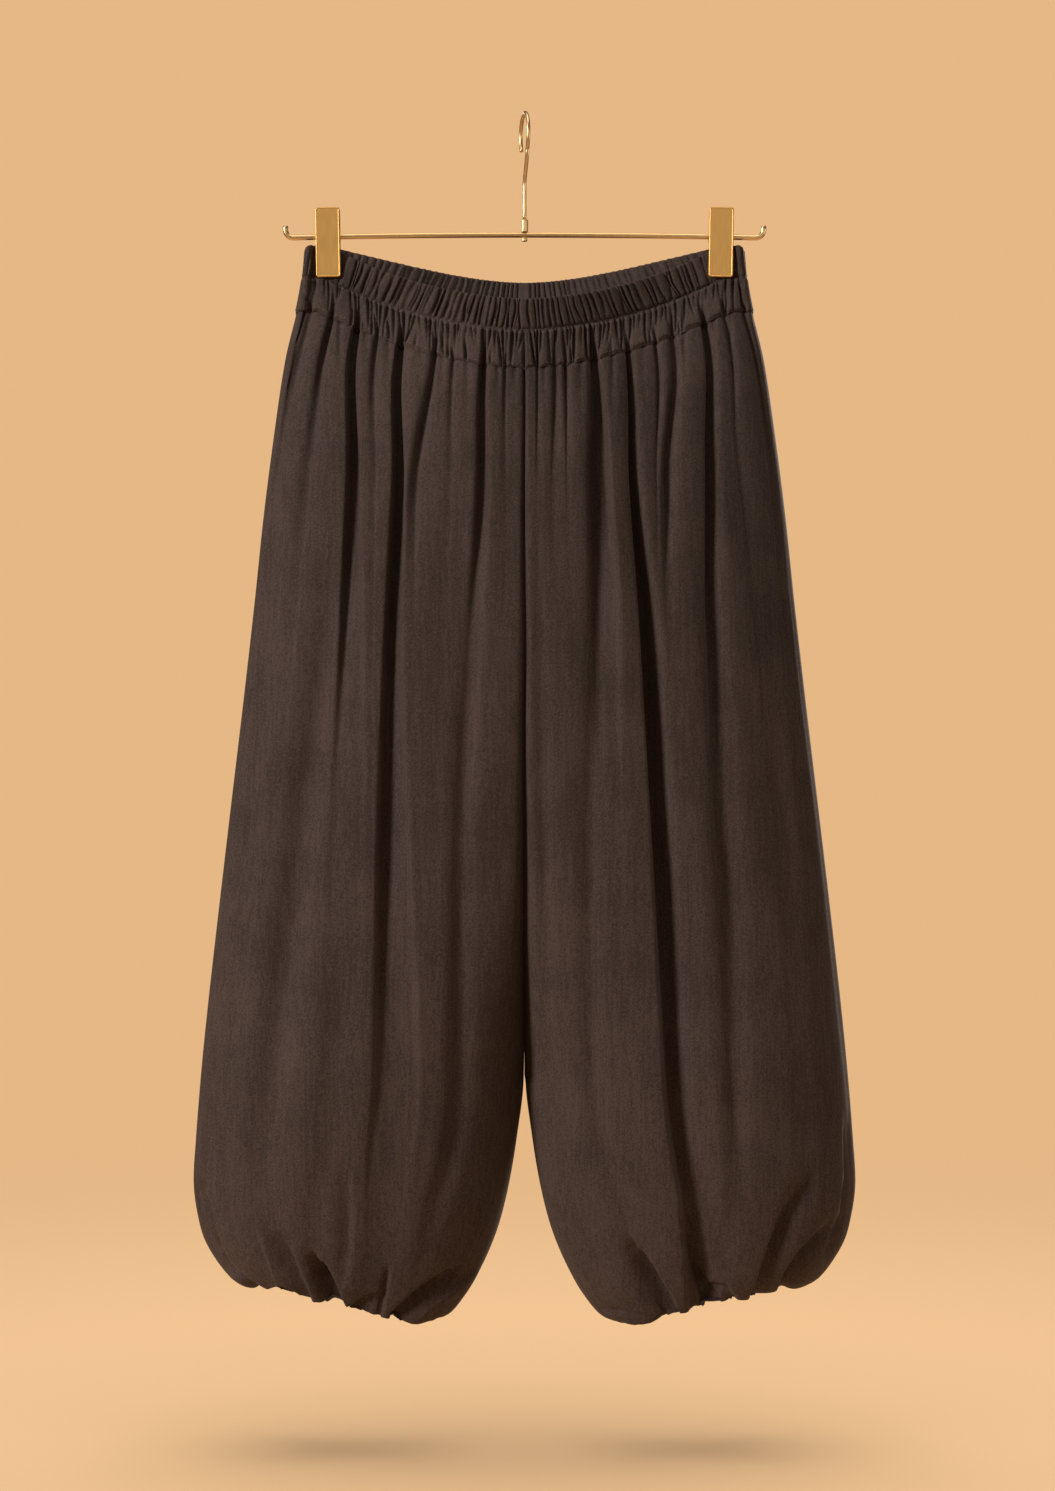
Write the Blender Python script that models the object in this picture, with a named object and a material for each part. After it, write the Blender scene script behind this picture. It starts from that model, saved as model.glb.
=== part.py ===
"""Harem pants hung by two clips on a metal hanger.

The origin is where a rail touches the inside of the hook. +Z is up, the garment's front faces -Y and
the wearer's left is +X. Tables and sizes are in millimetres, and MM turns them into metres.
"""

from collections import namedtuple
from math import cos, pi, radians, sin

import bmesh
import bpy
import numpy as np

MM = 0.001

# The cloth: a wall of one thickness, with its pieces a seam's gap apart
CLOTH_WALL = 1.8
SEAM_GAP = 0.3
PINCH_ROOM = 0.2
GATHERS_IN_HALF_BAND = 30
GATHER_HEIGHT = 1.2
GATHER_LEAN = 9.0
GATHER_CENTRE_SHARE = 0.72
CUFF_GATHERS = 16
CUFF_GATHER_HEIGHT = 1.0
FOLD_WIDTH = 7.0
CREST_SHARE = 0.32
WIDE_GAP = 17.0
SECTION_ROUNDNESS = 2.2
SECTION_FULLNESS = 0.55
WAIST_DIP_POWER = 1.7
WAIST_DIP_REACH = 0.9
SAG_PLACE = 0.18
SAG_SPREAD = 0.2
CLIP_INNER_EDGE = 0.8
CLIP_OUTER_EDGE = 0.965
WAIST_END_BULGE = 0.08
SHARP_EDGE = radians(50)

# Where gathers next to a clip flatten out, in clip widths from its middle
CLIP_HOLD = 0.6

# The share of a half over which its two walls close up towards a seam, and the share split that
# makes a section two legs
SEAM_TAPER = 0.02
CROTCH_SPLIT = 0.9

# Folds fade out where the section is no deeper than this, and are whole from the second depth on
FLAT_DEPTH = 2.0
FULL_DEPTH = 12.0

# The hanger
BAR_RADIUS = 2.25
BAR_REACH = 200.8
BAR_END_Z = -103.3
BAR_BOW = 2.5
BAR_CURL_RADIUS = 6.7
BAR_TIP_Z = -93.0
WIRE_RADIUS = 1.65
HOOK_INNER_RADIUS = 17.0
HOOK_TURN = radians(10)
HOOK_TIP_ANGLE = radians(-38)
HOOK_NECK_ANGLE = radians(225)
STEM_TOP_Z = -60.0
COLLAR_RADIUS = 3.0
COLLAR_TOP_Z = -88.0
RIVET_RADIUS = 2.4
RIVET_HEIGHT = 3.0
CLIP_X = 165.0
CLIP_WIDTH = 20.5
CLIP_TOP_Z = -78.0
CLIP_BOTTOM_Z = -136.8
CLIP_PLATE = 3.2
CLIP_LIP = 1.0
CLIP_TILT = radians(1.0)
CLIP_PIN_Z = -87.0
CLIP_PIN_INSET = 1.5
CLIP_INSIDE_Y = 2.6

# One row for each level of the cloth, measured down it from the seam between yoke and legs:
# how far the half reaches from inner to outer, the heights at its centre and side, how far a
# leg's end sags below them near the inseam, the depths to front and back, how much the clips pinch
# the section, and how far it has split into two legs.
Section = namedtuple(
    "Section", "drop inner outer front_z back_z outer_z sag front back pinch split"
)
SECTIONS = [
    Section(-60, 0, 183.5, -160, -135, -110, 0, 44, 44, 1.0, 0),
    Section(-33, 0, 187, -186, -161, -137, 0, 45, 45, 1.0, 0),
    Section(0, 0, 192, -218, -193, -167, 0, 47, 47, 0.62, 0),
    Section(45, 0, 201, -262, -240, -206, 0, 50, 50, 0.32, 0),
    Section(115, 0, 211, -325, -308, -273, 0, 54, 54, 0.12, 0),
    Section(185, 0, 219.5, -390, -375, -340, 0, 56, 56, 0.04, 0),
    Section(250, 0, 226.5, -450, -440, -407, 0, 58, 58, 0, 0.04),
    Section(330, 0, 236, -530, -522, -491, 0, 60, 60, 0, 0.12),
    Section(415, 0, 246, -610, -604, -575, 0, 62, 62, 0, 0.24),
    Section(500, 0, 256, -688, -684, -660, 0, 64, 64, 0, 0.44),
    Section(580, 0, 265.5, -762, -760, -744, 0, 66, 66, 0, 0.74),
    Section(640, 0.6, 271.5, -808, -808, -805, 0, 67, 67, 0, 1),
    Section(700, 6.8, 276, -861, -861, -861, 0, 67, 67, 0, 1),
    Section(735, 12.5, 278, -895, -895, -895, 0, 65, 65, 0, 1),
    Section(775, 21, 272, -930, -930, -935, 0, 60, 60, 0, 1),
    Section(812, 35, 258, -965, -965, -963, 0, 53, 53, 0, 1),
    Section(845, 49, 243, -988, -988, -979, 4, 45, 45, 0, 1),
    Section(872, 66, 227, -1004, -1004, -985, 8, 35, 35, 0, 1),
    Section(892, 76, 218, -997, -997, -977, 5, 28, 28, 0, 1),
    Section(914, 79, 215, -976, -976, -956, 2, 26, 26, 0, 1),
]
BAND_TOP, YOKE_TOP, LEG_TOP, CUFF_SEAM, CUFF_END = -60, -33, 0, 892, 914

# One row for each fold of a leg, from its side to its centre: how far the valley lies from the
# garment's centre line, and how deep it is, at the five drops named in FOLD_DROPS.
FOLD_DROPS = (0, 118, 360, 680, 793)
Fold = namedtuple(
    "Fold", "seam upper middle lower hem seam_deep upper_deep middle_deep lower_deep hem_deep"
)
RIGHT_FOLDS = [
    Fold(176, 199, 225, 258, 237, 3, 3, 3, 3, 5),
    Fold(160, 176, 195, 236, 217, 4, 3, 3, 4, 5),
    Fold(143, 143, 154, 202, 188, 6, 12, 8, 6, 6),
    Fold(122, 123, 128, 165, 165, 4, 2, 2, 2, 3),
    Fold(106, 107, 110, 129, 150, 6, 13, 12, 12, 9),
    Fold(95, 96, 97, 108, 137, 4, 2, 1, 2, 4),
    Fold(73, 84, 85, 88, 119, 4, 5, 2, 2, 7),
    Fold(56, 59, 65, 70, 105, 4, 2, 1, 2, 5),
    Fold(39, 38, 46, 53, 94, 6, 12, 7, 4, 7),
    Fold(28, 27, 29, 33, 82, 4, 2, 2, 2, 4),
    Fold(15, 15, 14, 20, 68, 3, 2, 3, 3, 4),
]
LEFT_FOLDS = [
    Fold(180, 202, 226, 256, 232, 4, 4, 3, 3, 5),
    Fold(165, 177, 196, 224, 205, 4, 3, 2, 2, 5),
    Fold(151, 154, 161, 184, 182, 6, 11, 8, 9, 6),
    Fold(138, 139, 145, 161, 168, 3, 2, 2, 2, 3),
    Fold(125, 123, 129, 145, 156, 5, 6, 2, 2, 4),
    Fold(110, 106, 117, 133, 146, 4, 2, 2, 2, 4),
    Fold(86, 88, 104, 121, 134, 7, 12, 13, 14, 11),
    Fold(58, 61, 62, 72, 117, 5, 11, 8, 3, 6),
    Fold(42, 43, 43, 50, 101, 3, 2, 2, 2, 4),
    Fold(23, 24, 26, 33, 86, 5, 6, 3, 3, 4),
    Fold(11, 11, 12, 17, 70, 4, 2, 2, 3, 4),
]
YOKE_PUCKER_SHARE = 0.3
CUFF_SEAM_DEPTH = 1.5

CLOTH_COLOUR = (0.042, 0.028, 0.021, 1)
ELASTIC_COLOUR = (0.038, 0.026, 0.020, 1)
BRASS_COLOUR = (0.52, 0.34, 0.15, 1)


def clear_scene():
    for obj in list(bpy.data.objects):
        bpy.data.objects.remove(obj, do_unlink=True)


def material(name, colour, roughness, metallic=0.0):
    made = bpy.data.materials.new(name)
    made.use_nodes = True
    shader = made.node_tree.nodes["Principled BSDF"]
    shader.inputs["Base Color"].default_value = colour
    shader.inputs["Roughness"].default_value = roughness
    shader.inputs["Metallic"].default_value = metallic
    return made


def curve_through(stations, values, at):
    """Reads a smooth curve through the values, which never swings past its neighbours."""
    stations = np.asarray(stations, float)
    values = np.asarray(values, float)
    steps = np.diff(stations)
    rates = np.diff(values) / steps
    slopes = np.concatenate([rates[:1], np.zeros(len(rates) - 1), rates[-1:]])
    for i in range(1, len(rates)):
        if rates[i - 1] * rates[i] > 0:
            slopes[i] = 2 * rates[i - 1] * rates[i] / (rates[i - 1] + rates[i])
    i = np.clip(np.searchsorted(stations, at, side="right") - 1, 0, len(steps) - 1)
    t = (at - stations[i]) / steps[i]
    rise = values[i + 1] - values[i]
    start = slopes[i] * steps[i]
    end = slopes[i + 1] * steps[i]
    bend = 3 * rise - 2 * start - end
    twist = start + end - 2 * rise
    return values[i] + t * start + t**2 * bend + t**3 * twist


def level(column, drops):
    """One column of the section table, read at each drop."""
    return curve_through(
        [row.drop for row in SECTIONS], [getattr(row, column) for row in SECTIONS], drops
    )


def pinched(across):
    """The depth of a section that the clips squeeze flat, from the centre to the side seam."""
    belly = 0.5 * (1 + np.cos(pi * np.clip(across / CLIP_INNER_EDGE, 0, 1)))
    past_clip = np.clip((across - CLIP_OUTER_EDGE) / (1 - CLIP_OUTER_EDGE), 0, 1)
    return belly + WAIST_END_BULGE * np.sin(pi * past_clip)


def rounded(across):
    """The depth of a section, full at the centre and closed at the side seam."""
    return (1 - np.clip(across, 0, 1) ** SECTION_ROUNDNESS) ** SECTION_FULLNESS


def cloth_points(across, drops, side):
    """Points of the cloth's outside for a half at +X, with side "front" or "back" facing -Y."""
    drops = np.asarray(drops, float)[:, None]
    inner, outer = level("inner", drops), level("outer", drops)
    split, pinch = level("split", drops), level("pinch", drops)
    hips = (1 - split) * rounded(across) + split * rounded(np.abs(2 * across - 1))
    depth = level(side, drops) * (pinch * pinched(across) + (1 - pinch) * hips)
    closing = np.clip((1 - across) / SEAM_TAPER, 0, 1)
    closing = closing * np.clip(1 - split + across / SEAM_TAPER, 0, 1)
    centre_z, side_z = level(side + "_z", drops), level("outer_z", drops)
    x = np.maximum(inner + (outer - inner) * across, SEAM_GAP / 2)
    y = -SEAM_GAP / 2 - closing * (CLOTH_WALL + PINCH_ROOM) - depth
    z = centre_z + (side_z - centre_z) * np.clip(across / WAIST_DIP_REACH, 0, 1) ** WAIST_DIP_POWER
    z = z - level("sag", drops) * np.exp(-(((across - SAG_PLACE) / SAG_SPREAD) ** 2))
    return np.stack(np.broadcast_arrays(x, y, z), axis=-1), depth


def outward(points):
    """Unit normals of a grid that runs down in its rows and away from the centre in its columns.

    Along the seams at its top and bottom they are level, so that neighbours stay a gap apart.
    """
    normals = np.cross(np.gradient(points, axis=0), np.gradient(points, axis=1))
    normals[[0, -1], :, 2] = 0
    return normals / np.linalg.norm(normals, axis=-1, keepdims=True)


def fold_lines(folds, drops):
    """Where each valley lies across the half, and how deep it is, at each drop."""
    inner, outer = level("inner", np.array(FOLD_DROPS)), level("outer", np.array(FOLD_DROPS))
    stations = (YOKE_TOP,) + FOLD_DROPS + (CUFF_SEAM,)
    lines = []
    for fold in folds:
        across = (np.array(fold[:5]) - inner) / (outer - inner)
        deep = fold[5:]
        across = [across[0]] + list(across) + [across[-1]]
        deep = [deep[0] * YOKE_PUCKER_SHARE] + list(deep) + [CUFF_SEAM_DEPTH]
        lines.append((curve_through(stations, across, drops), curve_through(stations, deep, drops)))
    return lines


def fold_columns(folds, drops):
    """The grid's columns: every valley, and one or two crests between neighbours."""
    drops = np.asarray(drops, float)
    nothing = np.zeros(len(drops))
    lines = [(nothing, nothing)] + fold_lines(folds, drops)[::-1] + [(nothing + 1, nothing)]
    width = level("outer", drops) - level("inner", drops)
    middles = [0] + [fold.middle for fold in folds[::-1]] + [level("outer", np.array(FOLD_DROPS[2]))]
    columns, reliefs = [], []
    for i, (left, right) in enumerate(zip(lines, lines[1:])):
        columns.append(left[0])
        reliefs.append(-left[1])
        wide = middles[i + 1] - middles[i] > WIDE_GAP
        for t in (1 / 3, 2 / 3) if wide else (1 / 2,):
            gap = (right[0] - left[0]) * width
            crest = CREST_SHARE * (left[1] + right[1]) * sin(pi * t)
            dips = left[1] * np.exp(-((t * gap / FOLD_WIDTH) ** 2))
            dips += right[1] * np.exp(-(((1 - t) * gap / FOLD_WIDTH) ** 2))
            columns.append(left[0] + (right[0] - left[0]) * t)
            reliefs.append(crest - dips)
    columns.append(lines[-1][0])
    reliefs.append(nothing)
    return np.stack(columns, axis=1), np.stack(reliefs, axis=1)


def wall_of(points, relief, depth, split):
    """The outer and inner skins: the points moved out by the relief, and those a wall inside them."""
    room = np.clip((depth - FLAT_DEPTH) / (FULL_DEPTH - FLAT_DEPTH), 0, 1)
    outer = points + outward(points) * (relief * room)[..., None]
    normals = outward(outer)
    normals[:, -1, 1] = 0
    normals[split[:, 0] >= 1, 0, 1] = 0
    normals[split[:, 0] < CROTCH_SPLIT, 0, 0] = 0
    normals /= np.linalg.norm(normals, axis=-1, keepdims=True)
    inner = outer - normals * CLOTH_WALL
    edge = SEAM_GAP / 2
    for skin in (outer, inner):
        skin[..., 0] = np.maximum(skin[..., 0], edge)
        skin[..., 1] = np.minimum(skin[..., 1], -edge)
    return outer, inner


def wall_faces(rows, columns, around=False):
    """Faces of the closed wall between two grids, the outer one's points first."""
    out = np.arange(rows * columns).reshape(rows, columns)
    if around:
        out = np.concatenate([out, out[:, :1]], axis=1)
    under = out + rows * columns
    strips = [
        [out[:-1, :-1], out[1:, :-1], out[1:, 1:], out[:-1, 1:]],
        [under[:-1, 1:], under[1:, 1:], under[1:, :-1], under[:-1, :-1]],
        [out[0, :-1], out[0, 1:], under[0, 1:], under[0, :-1]],
        [under[-1, :-1], under[-1, 1:], out[-1, 1:], out[-1, :-1]],
    ]
    if not around:
        strips.append([under[:-1, 0], under[1:, 0], out[1:, 0], out[:-1, 0]])
        strips.append([out[:-1, -1], out[1:, -1], under[1:, -1], under[:-1, -1]])
    return np.concatenate([np.stack([corner.ravel() for corner in strip], axis=1) for strip in strips])


def add_panel(name, outer, inner, wearer_side, face, finish, around=False):
    """Closes two skins into one wall, turned to its own side of the garment."""
    points = np.concatenate([outer.reshape(-1, 3), inner.reshape(-1, 3)])
    turn = np.array([1 if wearer_side == "left" else -1, 1 if face == "front" else -1, 1])
    faces = wall_faces(*outer.shape[:2], around)
    if turn[0] * turn[1] < 0:
        faces = faces[:, ::-1]
    mesh = bpy.data.meshes.new(name)
    mesh.from_pydata((points * turn * MM).tolist(), [], faces.tolist())
    mesh.materials.append(finish)
    mesh.shade_smooth()
    mesh.set_sharp_from_angle(angle=SHARP_EDGE)
    obj = bpy.data.objects.new(name, mesh)
    bpy.context.collection.objects.link(obj)
    return obj


def folded_panel(name, folds, drops, wearer_side, face, finish):
    """A yoke or leg panel, from the centre to the side seam."""
    columns, relief = fold_columns(folds, drops)
    points, depth = cloth_points(columns, drops, face)
    split = level("split", np.asarray(drops, float))[:, None]
    outer, inner = wall_of(points, relief, depth, split)
    return add_panel(name, outer, inner, wearer_side, face, finish)


def folds_of(wearer_side, face):
    """The back's folds follow the other leg's, a little nearer the centre, so no two sides match."""
    same = RIGHT_FOLDS if wearer_side == "right" else LEFT_FOLDS
    other = LEFT_FOLDS if wearer_side == "right" else RIGHT_FOLDS
    if face == "front":
        return same
    return [Fold(*(place * 0.98 for place in fold[:5]), *fold[5:]) for fold in other]


def waistband(face, finish):
    """The gathered elastic casing, one piece for each face, from side seam to side seam."""
    drops = (BAND_TOP, YOKE_TOP - SEAM_GAP)
    count = 2 * GATHERS_IN_HALF_BAND
    even = np.linspace(0, 1, count + 1)
    across = GATHER_CENTRE_SHARE * even + (1 - GATHER_CENTRE_SHARE) * even**2
    width = level("outer", float(BAND_TOP))
    lean = GATHER_LEAN / width * np.sin(pi * across)
    columns = np.stack([across - lean * 0.5, across + lean * 0.5])
    relief = GATHER_HEIGHT * np.where(np.arange(count + 1) % 2, 1.0, -1.0)
    under_clip = np.clip(np.abs(across * width - CLIP_X) / CLIP_WIDTH - CLIP_HOLD, 0, 1)
    relief = np.broadcast_to(relief * under_clip, columns.shape).copy()
    relief[:, -1] = 0
    points, _ = cloth_points(columns, drops, face)
    outer, inner = wall_of(points, relief, np.full(columns.shape, FULL_DEPTH), np.zeros((2, 1)))
    halves = []
    for skin in (outer, inner):
        skin[:, 0, 0] = 0
        mirrored = skin[:, :0:-1] * np.array([-1, 1, 1])
        halves.append(np.concatenate([mirrored, skin], axis=1))
    return add_panel("waistband_" + face, *halves, "left", face, finish)


def cuff(wearer_side, finish):
    """The narrow elastic casing that gathers a leg's end, turned up inside it."""
    drops = (CUFF_SEAM + 2 * SEAM_GAP, CUFF_END)
    count = 2 * CUFF_GATHERS
    skins = ([], [])
    for face, turn in (("front", 1), ("back", -1)):
        angles = np.linspace(0, pi, count // 2 + 1)[:-1]
        across = 0.5 - 0.5 * turn * np.cos(angles)
        points, _ = cloth_points(np.broadcast_to(across, (2, len(across))), drops, face)
        points[..., 1] = np.minimum(points[..., 1] + SEAM_GAP / 2, 0) * turn
        wave = CUFF_GATHER_HEIGHT * np.where(np.arange(len(across)) % 2, 1.0, 0.0)
        centre = 0.5 * (level("inner", float(CUFF_SEAM)) + level("outer", float(CUFF_SEAM)))
        away = points - np.array([centre, 0, 0])
        away[..., 2] = 0
        away /= np.linalg.norm(away, axis=-1, keepdims=True)
        skins[0].append(points + away * wave[:, None])
        skins[1].append(points + away * (wave[:, None] - CLOTH_WALL))
    outer, inner = (np.concatenate(skin, axis=1) for skin in skins)
    outer, inner = outer[::-1], inner[::-1]
    return add_panel("cuff_" + wearer_side, outer, inner, wearer_side, "front", finish, around=True)


def add_wire(name, points, radius, finish):
    curve = bpy.data.curves.new(name, "CURVE")
    curve.dimensions = "3D"
    curve.bevel_depth = radius * MM
    curve.bevel_resolution = 3
    curve.use_fill_caps = True
    spline = curve.splines.new("POLY")
    spline.points.add(len(points) - 1)
    for place, point in zip(spline.points, points):
        place.co = (*(value * MM for value in point), 1)
    curve.materials.append(finish)
    obj = bpy.data.objects.new(name, curve)
    bpy.context.collection.objects.link(obj)
    return obj


def bar_height(x):
    return BAR_END_Z + BAR_BOW * (1 - (x / BAR_REACH) ** 2)


def hanger_bar(finish):
    """A bar bowed a little upwards, whose ends curl up so that the clips can't slide off."""
    straight = BAR_REACH - BAR_CURL_RADIUS
    curl_z = bar_height(straight) + BAR_CURL_RADIUS
    half = [(x, bar_height(x)) for x in np.linspace(0, straight, 9)]
    for angle in np.linspace(0, pi / 2, 6)[1:]:
        half.append((straight + BAR_CURL_RADIUS * sin(angle), curl_z - BAR_CURL_RADIUS * cos(angle)))
    half.append((BAR_REACH, BAR_TIP_Z))
    points = [(-x, 0, z) for x, z in half[:0:-1]] + [(x, 0, z) for x, z in half]
    return add_wire("hanger_bar", points, BAR_RADIUS, finish)


def hanger_hook(finish):
    """A hook whose arch stands across the bar, turned a little, on a straight stem."""
    radius = HOOK_INNER_RADIUS + WIRE_RADIUS
    centre_z = -HOOK_INNER_RADIUS
    arch = [
        (radius * cos(angle), centre_z + radius * sin(angle))
        for angle in np.linspace(HOOK_TIP_ANGLE, HOOK_NECK_ANGLE, 20)
    ]
    neck_y, neck_z = arch[-1]
    stem = []
    for t in np.linspace(0, 1, 6)[1:]:
        sweep = t * t * (3 - 2 * t)
        stem.append((neck_y * (1 - sweep), neck_z + (STEM_TOP_Z - neck_z) * t))
    stem.append((0, COLLAR_TOP_Z + SEAM_GAP))
    points = [(-y * sin(HOOK_TURN), y * cos(HOOK_TURN), z) for y, z in arch + stem]
    return add_wire("hanger_hook", points, WIRE_RADIUS, finish)


def add_turned(name, radius, low_z, high_z, finish, bevel):
    """A short round piece on the hanger's upright, with rounded edges."""
    shape = bmesh.new()
    height = (high_z - low_z) * MM
    bmesh.ops.create_cone(
        shape, cap_ends=True, segments=16, radius1=radius * MM, radius2=radius * MM, depth=height
    )
    mesh = bpy.data.meshes.new(name)
    shape.to_mesh(mesh)
    shape.free()
    mesh.materials.append(finish)
    obj = bpy.data.objects.new(name, mesh)
    obj.location = (0, 0, 0.5 * (low_z + high_z) * MM)
    bpy.context.collection.objects.link(obj)
    rounding = obj.modifiers.new("rounding", "BEVEL")
    rounding.width = bevel * MM
    rounding.segments = 2
    rounding.limit_method = "ANGLE"
    return obj


def clip_plate(name, wearer_side, face, finish):
    """One jaw of a clip: a flat plate with rounded edges that presses the waistband."""
    shape = bmesh.new()
    bmesh.ops.create_cube(shape, size=1)
    height = CLIP_TOP_Z - CLIP_BOTTOM_Z
    for vertex in shape.verts:
        vertex.co.x *= CLIP_WIDTH * MM
        vertex.co.y *= CLIP_PLATE * MM
        vertex.co.z *= height * MM
    mesh = bpy.data.meshes.new(name)
    shape.to_mesh(mesh)
    shape.free()
    mesh.materials.append(finish)
    obj = bpy.data.objects.new(name, mesh)
    side = 1 if wearer_side == "left" else -1
    depth = (CLIP_INSIDE_Y + CLIP_PLATE / 2) * (-1 if face == "front" else 1)
    obj.location = (side * CLIP_X * MM, depth * MM, 0.5 * (CLIP_TOP_Z + CLIP_BOTTOM_Z) * MM)
    obj.rotation_euler = (0, side * CLIP_TILT, 0)
    bpy.context.collection.objects.link(obj)
    rounding = obj.modifiers.new("rounding", "BEVEL")
    rounding.width = CLIP_LIP * MM
    rounding.segments = 2
    return obj


def clip_pin(wearer_side, finish):
    """The round pin that the two jaws turn on, just above the bar."""
    side = 1 if wearer_side == "left" else -1
    reach = CLIP_WIDTH / 2 - CLIP_PIN_INSET
    ends = [(side * CLIP_X - reach, 0, CLIP_PIN_Z), (side * CLIP_X + reach, 0, CLIP_PIN_Z)]
    return add_wire("clip_" + wearer_side + "_pin", ends, CLIP_INSIDE_Y - SEAM_GAP, finish)


def build_garment():
    cloth = material("dark crepe", CLOTH_COLOUR, 0.85)
    elastic = material("gathered elastic casing", ELASTIC_COLOUR, 0.85)
    yoke_drops = (YOKE_TOP, LEG_TOP - SEAM_GAP)
    leg_drops = [row.drop for row in SECTIONS if LEG_TOP <= row.drop <= CUFF_SEAM]
    for face in ("front", "back"):
        waistband(face, elastic)
        for wearer_side in ("left", "right"):
            folds = folds_of(wearer_side, face)
            folded_panel(f"yoke_{wearer_side}_{face}", folds, yoke_drops, wearer_side, face, cloth)
            folded_panel(f"leg_{wearer_side}_{face}", folds, leg_drops, wearer_side, face, cloth)
    for wearer_side in ("left", "right"):
        cuff(wearer_side, elastic)


def build_hanger():
    brass = material("brushed brass", BRASS_COLOUR, 0.35, metallic=1.0)
    hanger_bar(brass)
    hanger_hook(brass)
    bar_top = bar_height(0) + BAR_RADIUS
    bar_bottom = bar_height(0) - BAR_RADIUS
    add_turned("hanger_collar", COLLAR_RADIUS, bar_top + SEAM_GAP, COLLAR_TOP_Z, brass, 0.6)
    rivet_top = bar_bottom - SEAM_GAP
    add_turned("hanger_rivet", RIVET_RADIUS, rivet_top - RIVET_HEIGHT, rivet_top, brass, 0.9)
    for wearer_side in ("left", "right"):
        for face in ("front", "back"):
            clip_plate(f"clip_{wearer_side}_{face}", wearer_side, face, brass)
        clip_pin(wearer_side, brass)


clear_scene()
build_garment()
build_hanger()
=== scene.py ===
"""The looks of the harem pants: cloth shells on the solids' form, their sewing, and the hanger's finish.

Tables are in millimetres, in the solids' frame, and MM turns them into metres. Lights are in metres.
Sides are the wearer's. A drop is how far the cloth has run down from the seam of yoke and legs, and a
grid of points holds the drops of its rows as a column.
"""

from collections import namedtuple
from math import cos, pi, radians, sin

import bpy
import numpy as np
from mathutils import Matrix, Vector


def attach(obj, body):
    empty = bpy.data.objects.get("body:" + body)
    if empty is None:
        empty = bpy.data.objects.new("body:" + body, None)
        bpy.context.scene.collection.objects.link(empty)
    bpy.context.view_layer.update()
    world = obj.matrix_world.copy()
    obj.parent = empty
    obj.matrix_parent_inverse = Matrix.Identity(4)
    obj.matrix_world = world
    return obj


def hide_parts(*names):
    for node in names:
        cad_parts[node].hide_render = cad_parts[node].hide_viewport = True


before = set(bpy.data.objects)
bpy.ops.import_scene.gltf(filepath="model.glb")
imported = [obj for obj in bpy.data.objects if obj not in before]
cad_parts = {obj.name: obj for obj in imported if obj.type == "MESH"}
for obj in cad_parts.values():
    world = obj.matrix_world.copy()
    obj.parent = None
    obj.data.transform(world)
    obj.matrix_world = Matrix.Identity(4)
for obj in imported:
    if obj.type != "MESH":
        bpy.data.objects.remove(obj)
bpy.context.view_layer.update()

MM = 0.001

# The camera stands level in front of the photo's middle
CAMERA_DISTANCE = 3000
MM_PER_PIXEL = 0.84
PHOTO_HEIGHT = 1491
CAMERA_X = 2.5
CAMERA_Z = -529.6
SENSOR = 36

# The floor, which fades out between two distances from its middle, in metres
FLOOR_Z = -1120
FLOOR_REACH = 3200
FLOOR_CORNERS = 64
FLOOR_FADE = (0.5, 2.6)
FLOOR_COLOUR = (0.53, 0.339, 0.183, 1)

# The backdrop's colour, and the weak glow of it that lights the object
BACKDROP = (0.79, 0.478, 0.237, 1)
GLOW_COLOUR = (0.95, 0.8, 0.66, 1)
GLOW = 0.05

# The lights, in metres and watts, and the groups of objects that each one falls on, or leaves out
Lamp = namedtuple("Lamp", "name place aim size power colour link groups")
LAMPS = [Lamp(*row) for row in (
    ("key", (-3.9, -2.7, 1.2), (0, 0, -0.55), 1.4, 268, (1, 0.955, 0.9), "EXCLUDE", ["floor"]),
    ("side", (3.4, -0.5, -0.3), (0, 0, -0.6), 1.8, 24, (1, 0.92, 0.82), "EXCLUDE", ["floor"]),
    ("behind", (2.6, 3.6, 0.7), (0, 0, -0.55), 1.6, 175, (1, 0.95, 0.89), "EXCLUDE", ["floor", "hanger"]),
    ("shine", (-1.5, 4.4, 0.3), (0, 0, -0.4), 2.4, 26, (1, 0.94, 0.86), "INCLUDE", ["hanger"]),
    ("over", (0, -0.4, 2.6), (0, 0, -0.6), 3, 50, (1, 0.92, 0.82), "EXCLUDE", ["floor"]),
    ("front", (1.5, -4.4, 0.3), (0, 0, -0.4), 2.4, 24.5, (1, 0.94, 0.86), "INCLUDE", ["hanger"]),
    ("inside", (2, -2.8, 1.4), (0, 0, -0.2), 1.6, 65, (1, 0.92, 0.84), "INCLUDE", ["backs"]),
    ("top", (0, 0.1, 2.6), (0, 0.1, -1.1), 4, 200, (1, 0.97, 0.92), "INCLUDE", ["floor"]),
)]
FLOOR_WASH = 1.8

# The finishes: their darker and lighter tone, and for brass how rough it is and how strongly brushed
CREPE = ((0.034, 0.0225, 0.0188), (0.0635, 0.0428, 0.0365))
GATHERED_CREPE = ((0.034, 0.0222, 0.0185), (0.0625, 0.042, 0.0358))
THREAD = ((0.05, 0.034, 0.027), (0.115, 0.08, 0.062))
BRUSHED_BRASS = ((0.69, 0.385, 0.118), (0.81, 0.475, 0.155), 0.42, 0.13)
DRAWN_BRASS = ((0.74, 0.47, 0.215), (0.86, 0.58, 0.285), 0.36, 0.03)

# The cloth's walls, and the depth of a section where its folds start and where they are whole
CLOTH_WALL = 1.6
BAND_WALL = 1.9
BAND_LEAST_WALL = 0.8
CUT_EDGE_ANGLE = radians(66)
PINCH_ROOM = 0.4
FLAT_DEPTH = 2
FULL_DEPTH = 12

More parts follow.
